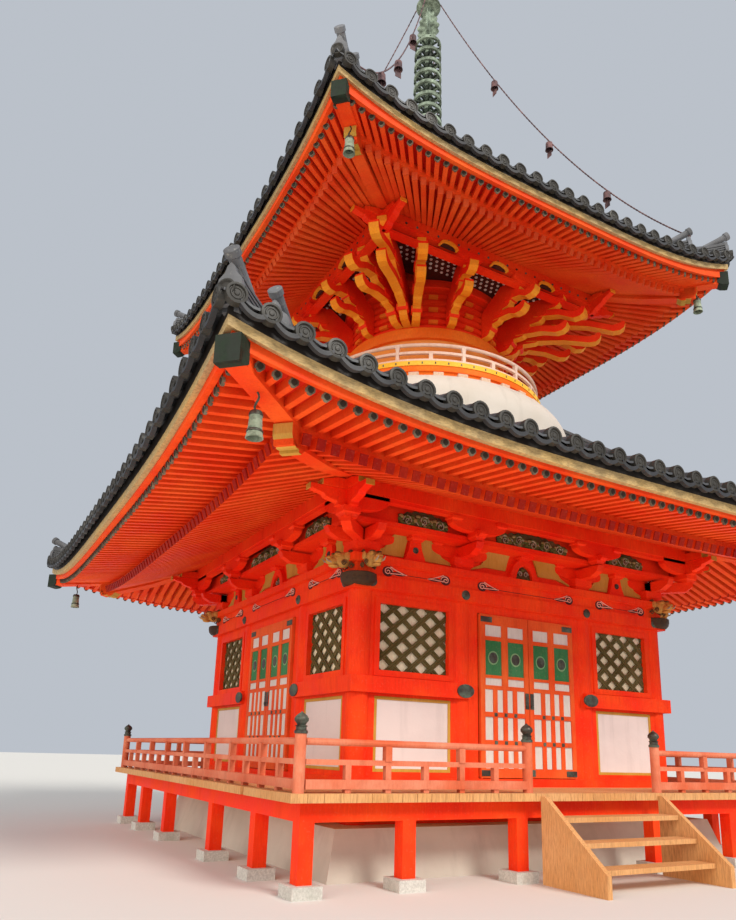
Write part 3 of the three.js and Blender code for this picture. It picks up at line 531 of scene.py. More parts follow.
board_low = [(window_left + 0.002, -2.48, window_low + 0.002)]
board = blocks(board_low, [(window_right - 0.002, -2.4705, window_high - 0.002)])
piece("window_boards", both_bays(board), cream_board)
frame_low, frame_high = window_low - 0.03, window_high + 0.03
window_frame = border(window_left - 0.028, window_right + 0.028, frame_low, frame_high, 0.07, -2.578, -2.5)
piece("window_frames", both_bays(window_frame), red_paint)


# The door leaves are framed and panelled: tall green panels with a dark oval in their middle between
# small whitewashed ones, and red bars over a whitewashed field below. Forged plates bind the stiles.
def oval(x, z, half_width, half_height, y0, y1, sides=28, inner=0.0):
    """An upright elliptical plate, or a ring of one, between two depths."""
    angle = np.arange(sides) * (2 * np.pi / sides)
    rim = xyz(np.cos(angle) * half_width, 0, np.sin(angle) * half_height)
    rows = [(inner, y1), (inner, y0), (1, y0), (1, y1)]
    points = np.stack([rim * share + np.array([x, y, z]) for share, y in rows])
    return closed_grid(points, loop_rows=inner > 0)


green_paint = painted("green_paint", (0.03, 0.16, 0.055), (0.06, 0.24, 0.10), (0.03, 0.06, 0.03), (6, 6, 1))
pale_green = painted("pale_green", (0.16, 0.34, 0.16), (0.24, 0.42, 0.22), (0.06, 0.12, 0.05), (6, 6, 1))
white_wash = painted("white_wash", (0.62, 0.60, 0.56), (0.70, 0.66, 0.62), (0.42, 0.34, 0.30), (6, 6, 1), 0.3)
door_red = painted("door_red", (0.72, 0.07, 0.012), (0.80, 0.14, 0.03), (0.34, 0.05, 0.02), (9, 9, 1))
door_leaves = [("front_door_left", 0, False), ("front_door_right", 0, True), ("left_door_left", 3, False)]
door_leaves += [("left_door_right", 3, True), ("right_door_pair", 1, None), ("back_door_pair", 2, None)]
dress(door_red, *(label for label, _, _ in door_leaves))
panel_edges = [(-0.712, -0.442), (-0.348, -0.078)]
face_in, face_out = -2.59, -2.584
green_panels = merged([blocks([(a, face_in, 2.257)], [(b, face_out, 2.698)]) for a, b in panel_edges])
ovals = merged([oval((a + b) / 2, 2.478, 0.066, 0.07, -2.598, face_out) for a, b in panel_edges])
oval_rims = merged([oval((a + b) / 2, 2.478, 0.082, 0.088, -2.594, face_out) for a, b in panel_edges])
small_panels = [(a, b, z0, z1) for a, b in panel_edges for z0, z1 in ((2.747, 2.898), (2.127, 2.223))]
whites = merged(
    [blocks([(a, face_in, z0)], [(b, face_out, z1)]) for a, b, z0, z1 in small_panels]
    + [blocks([(-0.713, face_in, 1.122)], [(-0.077, face_out, 2.078)])]
)
bar_lines, bar_half = -0.713 + 0.636 * np.arange(1, 4) / 4, 0.034
upright = blocks(xyz(bar_lines - bar_half, -2.6, 1.12), xyz(bar_lines + bar_half, -2.585, 2.08))
rail_lows = np.array([1.40, 1.74])
cross_rails = blocks(xyz(-0.715, -2.603, rail_lows), xyz(-0.075, -2.586, rail_lows + 0.06))
grown = 0.012
framed = [(a, b, z0 - grown, z1 + grown) for a, b, z0, z1 in small_panels]
framed += [(a, b, 2.243, 2.712) for a, b in panel_edges]
raised = [border(a - grown, b + grown, z0, z1, 0.014, -2.604, -2.59) for a, b, z0, z1 in framed]
red_bars = merged([upright, cross_rails, *raised])
plate_edges = [(-0.07, -0.012, 1.86, 2.06), (-0.07, -0.012, 1.03, 1.11)]
plate_edges += [(-0.78, -0.60, 1.03, 1.10), (-0.78, -0.60, 2.93, 3.0)]
plates = [blocks([(x0, -2.606, z0)], [(x1, -2.598, z1)]) for x0, x1, z0, z1 in plate_edges]
plates.append(oval(-0.042, 1.90, 0.02, 0.02, -2.615, -2.6))
for x in bar_lines:
    for z in (1.43, 1.77):
        plates.append(blocks([(x - 0.022, -2.609, z - 0.022)], [(x + 0.022, -2.602, z + 0.022)]))
dressing = [("green", green_panels, green_paint), ("ovals", ovals, black_bronze), ("whites", whites, white_wash)]
dressing += [("oval_rims", oval_rims, pale_green), ("bars", red_bars, door_red)]
dressing.append(("plates", merged(plates), black_bronze))
for label, turn, flipped in door_leaves:
    body = "building" if flipped is None else label
    for part, shape, material in dressing:
        chosen = shape if flipped is False else mirrored(shape)
        if flipped is None:
            chosen = merged([shape, chosen])
        piece(f"{label}_{part}", all_round(chosen, (turn,)), material, body)


# The rails that clasp the columns are spiked on, and each spike has a cast cover: a domed one at
# the head rail, and a wide rounded cap over the ends of the waist rail.
def facing_front(shape, x, y, z):
    """A body turned about the upright axis, laid over so that its axis points out of the front."""
    points, faces = shape
    return np.stack([points[:, 0] + x, y - points[:, 2], points[:, 1] + z], -1), faces


cover = [(0, 0.04), (0.018, 0.036), (0.022, 0.022), (0.05, 0.018), (0.062, 0.008), (0.062, -0.01), (0, -0.01)]
covers = [facing_front(turned(cover, 18), x, -2.64, 3.228) for x in (-door_line, door_line, -2.40, 2.40)]
piece("nail_covers", all_round(covers), black_bronze, smooth=True)
rail_caps = merged([oval(x, 2.028, 0.125, 0.082, -2.653, -2.63) for x in (-1.05, 1.05)])
piece("waist_rail_caps", all_round(rail_caps), black_bronze)


# The tie beam over the head rail is carved with cloud swirls at both ends of each bay, joined by one
# long line. Their outlines are picked out in pale pink; the dark plates behind them and the dark line
# are painted shade in the carving's hollows.
def tube(path, radius, sides=6):
    """A round bar along a path of points, its sections square to the path, the ends closed."""
    path = np.asarray(path, float)
    along = np.gradient(path, axis=0)
    along /= np.linalg.norm(along, axis=1, keepdims=True)
    hint = np.array([0.02, -1.0, 0.03]) if abs(along[:, 1]).max() < 0.7 else np.array([0.9, 0.1, 0.3])
    side = np.cross(along, hint)
    side /= np.linalg.norm(side, axis=1, keepdims=True)
    lift = np.cross(side, along)
    angle = np.arange(sides) * (2 * np.pi / sides)
    radii = np.broadcast_to(np.asarray(radius, float), (len(path),))[:, None, None]
    ring = side[:, None] * np.cos(angle)[None, :, None] + lift[:, None] * np.sin(angle)[None, :, None]
    points, faces = closed_grid(path[:, None] + ring * radii, loop_rows=False)
    last = (len(path) - 1) * sides
    faces += [tuple(range(sides))[::-1], tuple(range(last, last + sides))]
    return points, faces


def swept(path, profile):
    """A closed profile (sideways, upwards) carried along a path that keeps to one upright plane."""
    path, outline = np.asarray(path, float), np.asarray(profile, float)
    across = np.array([path[-1][1] - path[0][1], path[0][0] - path[-1][0], 0.0])
    across /= np.linalg.norm(across)
    points = path[:, None] + outline[None, :, :1] * across + outline[None, :, 1:] * np.array([0, 0, 1.0])
    flat, faces = closed_grid(points, loop_rows=False)
    n, last = len(outline), (len(path) - 1) * len(outline)
    return flat, faces + [tuple(range(n))[::-1], tuple(range(last, last + n))]


def plate(outline, y0, y1, x=0.0):
    """An upright plate facing the front: outline points (sideways of x, height), between two depths."""
    return swept([(x, y0, 0), (x, y1, 0)], outline)


swirl_pink = painted("swirl_pink", (0.80, 0.34, 0.26), (0.86, 0.48, 0.40), (0.40, 0.12, 0.08), (5, 5, 5), 0.3)
# The dark plates behind the swirls and the dark line between them are painted shade.
swirl_shade = painted("swirl_shade", (0.07, 0.02, 0.02), (0.11, 0.035, 0.03), (0.04, 0.012, 0.01), (5, 5, 5), 0.3)
swirl_line, swirl_face, shade_back = 3.385, -2.606, -2.599
curl = np.linspace(0, 3.0 * np.pi, 36)
curl_radius = 0.060 * np.exp(-0.17 * curl)
full_turn = np.linspace(0, 2 * np.pi, 25)[:-1]
tail = np.linspace(0, 1, 14)
swirls, shadows = [], []
for x0, x1 in ((-2.32, -1.18), (-0.90, 0.90), (1.18, 2.32)):
    for end, way in ((x0, 1), (x1, -1)):
        middle = end + way * 0.15
        x = middle + way * (curl_radius * np.cos(curl)) * 1.15
        swirls.append(tube(xyz(x, swirl_face, swirl_line + curl_radius * np.sin(curl)), 0.007, 5))
        shadows.append(plate(arc(middle, swirl_line, 0.075, 0.062, full_turn), -2.605, shade_back))
        drop = arc(middle + way * 0.16, 3.372, way * 0.10, 0.024, full_turn[::way])
        shadows.append(plate(drop, -2.604, shade_back))
        for bow in (0.062, -0.022):
            z = swirl_line + bow * (1 - tail) ** 1.5 - 0.016 * tail
            path = xyz(middle + way * (0.03 + 0.24 * tail), swirl_face, z)
            swirls.append(tube(path, 0.0065 * (1.2 - 0.6 * tail), 5))
    shadows.append(tube([(x0 + 0.42, -2.602, 3.369), (x1 - 0.42, -2.602, 3.369)], 0.003, 5))
piece("beam_swirls", all_round(swirls), swirl_pink)
piece("beam_swirl_shade", all_round(shadows), swirl_shade)


# The purlins and the bracket tiers stand on the plate over the columns. Their red has kept best here,
# out of the rain. On each column a square bearing block carries crossed arms with round undersides,
# and the outer arm of these carries the purlin. A shelf beam runs between them, boxed in above.
red_tones = (0.90, 0.022, 0.005), (0.95, 0.055, 0.008), (0.55, 0.02, 0.007)
sheltered_red = painted("sheltered_red", *red_tones, (7, 7, 7), 0.25)
dress(sheltered_red, "drum", "lower_eaves", "upper_eaves")


def square_ring(outline, count=40):
    """A ring on a square plan: outline points (half width, height, rise at the corners) go round,
    each at x = u * half width along a side, raised by rise * |u| ^ 3.6."""
    u = np.linspace(-1, 1, count, endpoint=False)[:, None]
    r, z, rise = np.array([(*p, 0.0)[:3] for p in outline], float).T
    side = np.stack([u * r, -np.broadcast_to(r, (count, len(r))), z + rise * np.abs(u) ** 3.6], -1)
    turns = [np.array([[c, -s], [s, c]]) for c, s in ((1, 0), (0, 1), (-1, 0), (0, -1))]
    rows = []
    for turn in turns:
        turned_side = side.copy()
        turned_side[..., :2] = side[..., :2] @ turn.T
        rows.append(turned_side)
    return closed_grid(np.concatenate(rows))


def bearing(x, y, z, half, tall):
    """A square bearing block: its lower half curves in to a smaller foot."""
    square = np.array([(-1, -1), (1, -1), (1, 1), (-1, 1)], float)
    rows = ((0, 0), (0.70, 0), (0.74, 0.16), (0.86, 0.34), (1, 0.46), (1, 1), (0, 1))
    points = [np.column_stack([square * half * share + (x, y), np.full(4, z + tall * up)]) for share, up in rows]
    return closed_grid(np.stack(points), loop_rows=False)


def other_half(points):
    """The mirror image of half an outline, in reverse order."""
    return [(-x, z) for x, z in points[::-1]]


def boat(half, low, high, flat, end):
    """The outline of an arm whose underside is flat in the middle and curves up to its ends."""
    bend = np.linspace(0, np.pi / 2, 7)
    side = [(flat + (half - flat) * math.sin(a), low + (high - end - low) * (1 - math.cos(a))) for a in bend]
    return other_half([*side, (half, high)]) + [*side, (half, high)]


def fins(outline, width):
    """Upright slabs along the four diagonals: outline points (distance out, height), that wide."""
    half = np.array([width, -width, 0]) / (2 * math.sqrt(2))
    return all_round(swept([-half, half], outline))


arm_line, tie_top, tie_face = 2.88, 3.5505, -2.489
out_arm = [(2.4, 3.72), (2.80, 3.72), (2.92, 3.78), (2.96, 3.86), (2.4, 3.86)]
upper_out = [(2.4, 3.9), (2.99, 3.92), (3.03, 3.95), (3.03, 3.99), (2.4, 4.12)]
wall_ring = [(2.43, 3.55), (2.49, 3.55), (2.49, 4.62), (2.43, 4.64)]
shelf_ring = [(2.489, 3.895), (2.78, 3.895), (2.78, 3.955), (2.715, 3.955), (2.715, 4.179), (2.489, 4.179)]
under_purlin = box(2.825, 2.935, 4.135, 4.1797)
parts = [square_ring(outline, 2) for outline in (wall_ring, shelf_ring, under_purlin)]
for x in (-door_line, door_line):
    shapes = [bearing(x, -column_line, tie_top, 0.155, 0.17), bearing(x, -arm_line, 3.88, 0.085, 0.10)]
    inner_arm, outer_arm = boat(0.44, 3.72, 3.86, 0.16, 0.055), boat(0.42, 3.98, 4.14, 0.13, 0.06)
    shapes.append(plate(inner_arm, -column_line - 0.055, -column_line + 0.055, x))
    shapes.append(plate(outer_arm, -arm_line - 0.06, -arm_line + 0.06, x))
    shapes += [swept([(x - 0.055, 0, 0), (x + 0.055, 0, 0)], outline) for outline in (out_arm, upper_out)]
    for aside in (-0.35, 0.35):
        shapes.append(bearing(x + aside, -column_line, 3.855, 0.085, 0.05))
        shapes.append(bearing(x + aside, -arm_line, 4.08, 0.085, 0.06))
    parts.append(all_round(shapes))


def both_ways(shape):
    """The shape and its mirror image over the upright plane through the near left corner."""
    points, faces = shape
    return merged([shape, (points[:, [1, 0, 2]], [face[::-1] for face in faces])])


def half_boat(x, y, low, high, length):
    """An arm that runs to the right of a corner block, its underside curving up to its end."""
    outline = [(x - 0.16, low), *[(px, z) for px, z in boat(length, low, high, 0.14, 0.055) if px > 0]]
    outline = [(px + x if i else px, z) for i, (px, z) in enumerate(outline)] + [(x - 0.16, high)]
    return plate(outline, y - 0.055, y + 0.055)


corner = [bearing(-column_line, -column_line, tie_top, 0.165, 0.17)]
corner.append(bearing(-arm_line, -arm_line, 3.85, 0.11, 0.13))
corner.append(half_boat(-column_line, -column_line, 3.72, 3.86, 0.42))
corner.append(half_boat(-arm_line, -arm_line, 3.98, 4.1797, 0.52))
corner.append(swept([(-column_line - 0.055, 0, 0), (-column_line + 0.055, 0, 0)], out_arm))
parts.append(all_round(both_ways(merged(corner))))
root = column_line * math.sqrt(2)
parts.append(fins([(root, 3.72), (4.05, 3.72), (4.16, 3.80), (4.16, 3.86), (root, 3.86)], 0.12))


def crossing(outline, width, at):
    """Slabs that run on beyond every corner both ways: outline points are (place along, height)."""
    shape = plate(outline, -at - width / 2, -at + width / 2)
    return all_round([shape, mirrored(shape)])


def stepped_nose(start, top, length):
    """The end of an arm in three steps, each with a rounded underside."""
    low, stride = top - 0.21, length / 3
    outline = [(start, low)]
    for i in range(3):
        x, z = start + stride * (i + 1), low + 0.068 * i
        outline += [(x - 0.09, z), (x - 0.03, z + 0.018), (x, z + 0.052)]
    return outline + [(start + length, top - 0.0005), (start, top - 0.0005)]


parts.append(crossing(stepped_nose(arm_line, 4.18, 0.51), 0.10, arm_line))
piece("lower_bracket_arms", parts, sheltered_red, replaces=["lower_brackets"])
arm_end = crossing(box(3.388, 3.398, 4.115, 4.179), 0.106, arm_line)
purlin_end = crossing(box(3.238, 3.248, 4.188, 4.25), 0.136, arm_line)
piece("lower_arm_noses", [arm_end, purlin_end], ochre_paint)


# Over each bay the wall between the arms is closed by ochre boards, cut to the curve of the arms, on
# both sides of a flared red strut, or in the middle bay of an arched one with a carved heart.
side_board = [(0.08, 3.895), (0.12, 3.76), (0.15, 3.62), (0.60, 3.615), (0.60, 3.635), (0.43, 3.70)]
side_board += [(0.365, 3.77), (0.335, 3.85), (0.28, 3.895)]
middle_board = [(0.21, 3.895), (0.25, 3.80), (0.29, 3.675), (0.62, 3.675), (0.86, 3.612), (0.86, 3.63)]
middle_board += [(0.70, 3.70), (0.65, 3.76), (0.64, 3.895)]
bay_middle = (column_line + door_line) / 2
infill = []
for x, outline in ((-bay_middle, side_board), (0.0, middle_board), (bay_middle, side_board)):
    for way in (-1, 1):
        infill.append(plate([(way * px, z) for px, z in outline], -2.512, tie_face, x))
piece("lower_infill_boards", all_round(infill), ochre_paint)
strut = [(-0.17, tie_top), (-0.14, 3.62), (-0.095, 3.73), (-0.08, 3.83)]
strut += other_half(strut)
outer_arch = [(-0.26, tie_top), (-0.225, 3.66), (-0.17, 3.77), (-0.09, 3.845), (0, 3.868)]
outer_arch += other_half(outer_arch[:-1])
inner_arch = [(-0.15, tie_top), (-0.13, 3.65), (-0.085, 3.735), (0, 3.775)]
inner_arch += other_half(inner_arch[:-1])
struts = [plate(outer_arch + inner_arch[::-1], -2.56, tie_face), bearing(0, -2.53, 3.85, 0.11, 0.045)]
for x in (-bay_middle, bay_middle):
    struts += [plate(strut, -2.56, tie_face, x), bearing(x, -2.53, 3.83, 0.11, 0.065)]
piece("lower_struts", all_round(struts), sheltered_red)


# Carved panels stand on the shelf beam under the purlin: scrolls of foliage in high relief, dark
# green and brown. Their pale white stems and some pale tan blobs are painted highlights on the carving.
def blob(centre, radii, sides=10):
    """An ellipsoid."""
    bend = np.linspace(-np.pi / 2, np.pi / 2, 7)
    points, faces = turned(np.stack([np.cos(bend), np.sin(bend)], -1), sides)
    return points * np.asarray(radii, float) + np.asarray(centre, float), faces


def scroll(x, y, z, size, way, turns=1.5, thick=0.009):
    """A spiral stem in the plane y: radius size (1 - 0.8 t), thinning to its inner end."""
    t = np.linspace(0, 1, 22)
    angle, radius = t * turns * 2 * np.pi, size * (1 - 0.8 * t)
    path = xyz(x + way * radius * np.cos(angle), y - 0.006 * t, z + radius * np.sin(angle))
    return tube(path, thick * (1.15 - 0.6 * t), 5)


leaf_green = painted("leaf_green", (0.075, 0.085, 0.02), (0.15, 0.14, 0.045), (0.04, 0.03, 0.012), (9, 9, 9), 0.7)
leaf_brown = painted("leaf_brown", (0.085, 0.04, 0.016), (0.15, 0.085, 0.035), (0.03, 0.018, 0.01), (9, 9, 9), 0.6)
# Pale white: painted highlights along the carved stems, and the beasts' own pale tusks.
tusk_white_stem_highlight = painted("tusk_white_stem_highlight", (0.30, 0.24, 0.17), (0.42, 0.36, 0.28), (0.12, 0.09, 0.06), (9, 9, 9), 0.6)
draw = np.random.default_rng(7)
grounds, leaves, petals, stems = [], [], [], []
for x, half, count in ((-bay_middle, 0.36, 3), (0.0, 0.60, 5), (bay_middle, 0.36, 3)):
    top = np.linspace(-1, 1, 4 * count + 1)
    edge = 4.165 - 0.085 * top**2 + 0.012 * np.cos(top * count * 2 * np.pi)
    outline = [(x - half, 3.9555), (x + half, 3.9555), *zip(x + half * top[::-1], edge[::-1])]
    grounds.append(plate(outline, -2.735, -2.714))
    for i in range(count):
        way = 1 if i % 2 else -1
        middle_x, middle_z = x + half * (2 * (i + 0.5) / count - 1), 4.035 + 0.012 * way
        stems.append(scroll(middle_x, -2.750, middle_z, 0.068, way))
        for k in range(14):
            angle = k * 0.45 + draw.random() * 0.4
            radius = 0.05 + 0.05 * draw.random()
            spot = (middle_x + radius * 1.15 * math.cos(angle), -2.74, middle_z + radius * 0.75 * math.sin(angle))
            size = 0.018 + 0.014 * draw.random()
            (leaves if k % 5 else petals).append(blob(spot, (size * 1.3, 0.022, size), 8))
    wave = np.linspace(-1, 1, 30)
    stems.append(tube(xyz(x + half * 0.96 * wave, -2.744, 4.03 + 0.05 * np.sin(wave * count * np.pi)), 0.006, 5))
grounds.append(plate(inner_arch, -2.515, tie_face))
stems += [scroll(way * 0.05, -2.53, 3.66, 0.04, way, 1.3, 0.007) for way in (-1, 1)]
heart = ((0, 3.60), (-0.09, 3.60), (0.09, 3.60), (0, 3.72))
leaves += [blob((x, -2.525, z), (0.03, 0.016, 0.022), 8) for x, z in heart]
piece("carved_grounds", all_round(grounds), leaf_brown)
piece("carved_leaves", all_round(leaves), leaf_green, smooth=True)
# Pale tan blobs among the leaves are painted highlights.
petal_highlight_tan = painted("petal_highlight_tan", (0.26, 0.17, 0.06), (0.36, 0.27, 0.12), (0.08, 0.05, 0.02), (9, 9, 9), 0.6)
piece("carved_petal_highlights", all_round(petals), petal_highlight_tan, smooth=True)
piece("carved_stems", all_round(stems), tusk_white_stem_highlight, smooth=True)
emblem = [(0, 0.012), (0.012, 0.012), (0.016, 0.006), (0.03, 0.006), (0.036, 0.012), (0.042, 0.0), (0, 0.0)]
emblems = [facing_front(turned(emblem, 16), x, -2.56, 3.72) for x in (-bay_middle, bay_middle)]
piece("strut_emblems", all_round(emblems), black_bronze, smooth=True)


# At each corner the tie beams run on as carved beasts' heads, ochre with brown manes and pale tusks,
# over a dark cast bowl that clasps the crossing of the head rails.
def beast():
    """A head looking out of the front at the near left corner: skull, muzzle, brows, ears and mane."""
    x = -column_line
    parts = [blob((x, -2.72, 3.475), (0.085, 0.13, 0.10)), blob((x, -2.86, 3.44), (0.055, 0.085, 0.05))]
    parts += [blob((x, -2.90, 3.475), (0.05, 0.035, 0.025)), blob((x, -2.83, 3.385), (0.05, 0.07, 0.022))]
    for way in (-1, 1):
        parts.append(blob((x + way * 0.05, -2.80, 3.52), (0.03, 0.05, 0.025)))
        parts.append(blob((x + way * 0.09, -2.69, 3.51), (0.02, 0.05, 0.05)))
    return merged(parts)


def mane():
    """Its mane: four spiral curls and a brow on each side, radius 0.036 (1 - 0.8 t)."""
    x, curls = -column_line, []
    t = np.linspace(0, 1, 16)
    angle, radius = t * 3 * np.pi, 0.036 * (1 - 0.8 * t)
    for way in (-1, 1):
        for px, y, z in ((0.085, -2.64, 3.40), (0.088, -2.64, 3.48), (0.08, -2.65, 3.555), (0.09, -2.74, 3.42)):
            path = xyz(x + way * px, y + radius * np.cos(angle), z + radius * np.sin(angle))
            curls.append(tube(path, 0.011 * (1.1 - 0.6 * t), 5))
        curls.append(blob((x + way * 0.045, -2.805, 3.545), (0.035, 0.04, 0.012), 8))
    return merged(curls)


beast_ochre = painted("beast_ochre", (0.46, 0.20, 0.035), (0.58, 0.32, 0.09), (0.10, 0.045, 0.02), (9, 9, 9), 0.9)
tusk_path = xyz(-column_line - np.array([0.03, 0.045, 0.045]), [-2.87, -2.93, -2.965], [3.42, 3.43, 3.46])
tusk = tube(tusk_path, (0.014, 0.010, 0.003), 6)
tusks = merged([tusk, mirrored(tusk, -column_line)])
piece("corner_beasts", all_round(both_ways(beast())), beast_ochre, smooth=True)
piece("beast_manes", all_round(both_ways(mane())), leaf_brown, smooth=True)
piece("beast_tusks", all_round(both_ways(tusks)), tusk_white_stem_highlight, smooth=True)
clasp = [(0, 3.165), (0.13, 3.165), (0.175, 3.175), (0.205, 3.21), (0.217, 3.255), (0.218, 3.305)]
corner_bowl = turned([*clasp, (0.205, 3.315), (0, 3.315)], 36, (-2.53, -2.53))
bowl_brown = metal("bowl_brown", (0.045, 0.022, 0.012), (0.07, 0.04, 0.02), (0.02, 0.01, 0.006), 0.5, 0.1)
piece("corner_bowls", all_round(corner_bowl), bowl_brown, smooth=True)


# The eaves of a storey fall outwards in two tiers, base rafters and flatter flying rafters, under
# boards, and everything sweeps up towards the corners. Below the tiles a red board and an ochre one,
# bare at its ends, run round the edge.
class Eaves:
    """Heights over the plan, in half widths r: a tier is a straight fall, and a corner rises by
    lift * (share out from the purlin) ^ 1.4 * |place along the side, -1 to 1| ^ 3.6."""

    def __init__(self, **sizes):
        self.__dict__.update(sizes)

    def base(self, r):
        """The top of the base rafters: purlin_top - base_slope (r - purlin) + base_rafter."""
        return self.purlin_top - self.base_slope * (r - self.purlin) + self.base_rafter

    def flying(self, r):
        """The top of the flying rafters: fly_at_tip - fly_slope (r - base_tip) + fly_rafter."""
        return self.fly_at_tip - self.fly_slope * (r - self.base_tip) + self.fly_rafter

    def rafter_rise(self, r):
        """The rafters' rise at a corner, in full at their tip."""
        return self.rafter_lift * np.clip((r - self.purlin) / (self.tip - self.purlin), 0, None) ** 1.4

    def bed(self, r):
        """The tile bed over run = edge - r: bed_start + bed_pitch run + bed_curve run |run|."""
        run = self.edge - r
        return self.bed_start + self.bed_pitch * run + self.bed_curve * run * np.abs(run)

    def bed_rise(self, r):
        """The bed's rise at a corner, in full at the boards' edge."""
        return (self.board_lift + 0.01) * np.clip((r - self.purlin) / (self.edge - self.purlin), 0, None) ** 1.4


def corner_rise(x, r):
    """The share of a corner's rise at x along a side: |x / r| ^ 3.6."""
    return np.clip(np.abs(x / r), 0, 1) ** 3.6


lower = Eaves(
    inner=2.38, purlin=2.95, purlin_top=4.355, base_slope=0.383, base_rafter=0.10, base_tip=4.15,
    fly_at_tip=4.045, fly_slope=0.141, fly_rafter=0.08, tip=5.0, board_low=4.015, board_top=4.107,
    edge=5.134, rafter_lift=0.33, board_lift=0.42, hip_width=0.19, bell_at=4.70, base_end=4.30,
    bed_start=4.21, bed_pitch=0.339, bed_curve=0.075, tile_edge=5.23, bed_top=1.6, spacing=0.15, first_row=0.5,
    ridge_stop=0.62,
)
upper = Eaves(
    inner=1.30, purlin=2.11, purlin_top=8.95, base_slope=0.404, base_rafter=0.09, base_tip=3.10,
    fly_at_tip=8.70, fly_slope=0.175, fly_rafter=0.075, tip=3.5, board_low=8.757, board_top=8.847,
    edge=3.618, rafter_lift=0.31, board_lift=0.40, hip_width=0.16, bell_at=3.25, base_end=3.17,
    bed_start=8.935, bed_pitch=0.475, bed_curve=0.1512, tile_edge=3.70, bed_top=0.42, spacing=0.14, first_row=0.0,
    ridge_stop=0.42,
)
eave_red = painted("eave_red", (0.82, 0.05, 0.008), (0.88, 0.11, 0.016), (0.52, 0.035, 0.012), (5, 5, 5), 0.2)
bare_edge = weathered("bare_edge", (0.55, 0.36, 0.13), (0.42, 0.30, 0.15), (0.10, 0.07, 0.04), (3, 3, 9))
# The soffit boards between the rafters get a deeper red than the rafters: painted shade between them.
soffit_shade_red = painted("soffit_shade_red", (0.62, 0.012, 0.004), (0.70, 0.03, 0.006), (0.34, 0.012, 0.006), (4, 4, 4), 0.3)
# The covers on the base rafters' ends are darker than the rafters: painted shade, a painted shadow line on the
# lower eaves and a milder one on the upper.
upper_tip_shade = painted("upper_tip_shade", (0.66, 0.045, 0.010), (0.76, 0.11, 0.025), (0.40, 0.03, 0.012), (5, 5, 5), 0.5)
lower_tip_shade = painted("lower_tip_shade", (0.34, 0.010, 0.005), (0.44, 0.03, 0.010), (0.18, 0.010, 0.006), (5, 5, 5), 0.5)
copper_green = metal("copper_green", (0.008, 0.014, 0.009), (0.018, 0.030, 0.018), (0.006, 0.008, 0.005), 0.5, 0.1)
cap_rim = metal("cap_rim", (0.09, 0.075, 0.05), (0.20, 0.17, 0.12), (0.03, 0.025, 0.018), 0.6, 0.2)
cap_black = metal("cap_black", (0.020, 0.017, 0.011), (0.04, 0.034, 0.022), (0.010, 0.008, 0.006), 0.6, 0.1)


def rafter_set(e, low, high, fanned, tier):
    """Rafters of one tier: where each begins and ends under its boards. Parallel ones keep their x,
    and fanned ones keep x / r, so that they spread from the middle of the plan."""
    lift = lambda x, r: tier(r) + e.rafter_rise(r) * corner_rise(x, r)
    if fanned:
        count = int(high / e.spacing)
        share = (np.arange(-count, count + 1) * e.spacing) / high
        share = share[np.abs(share) < 0.965]
        r0, r1 = np.full(len(share), low), np.full(len(share), high)
        x0, x1 = share * r0, share * r1
    else:
        count = int((high - 0.1) / e.spacing)
        x0 = x1 = (np.arange(-count, count + 1)) * e.spacing
        r0, r1 = np.maximum(low, np.abs(x0) + 0.07), np.full(len(x0), high)
        keep = r1 - r0 > 0.06
        x0, x1, r0, r1 = x0[keep], x1[keep], r0[keep], r1[keep]
    return xyz(x0, -r0, lift(x0, r0)), xyz(x1, -r1, lift(x1, r1))


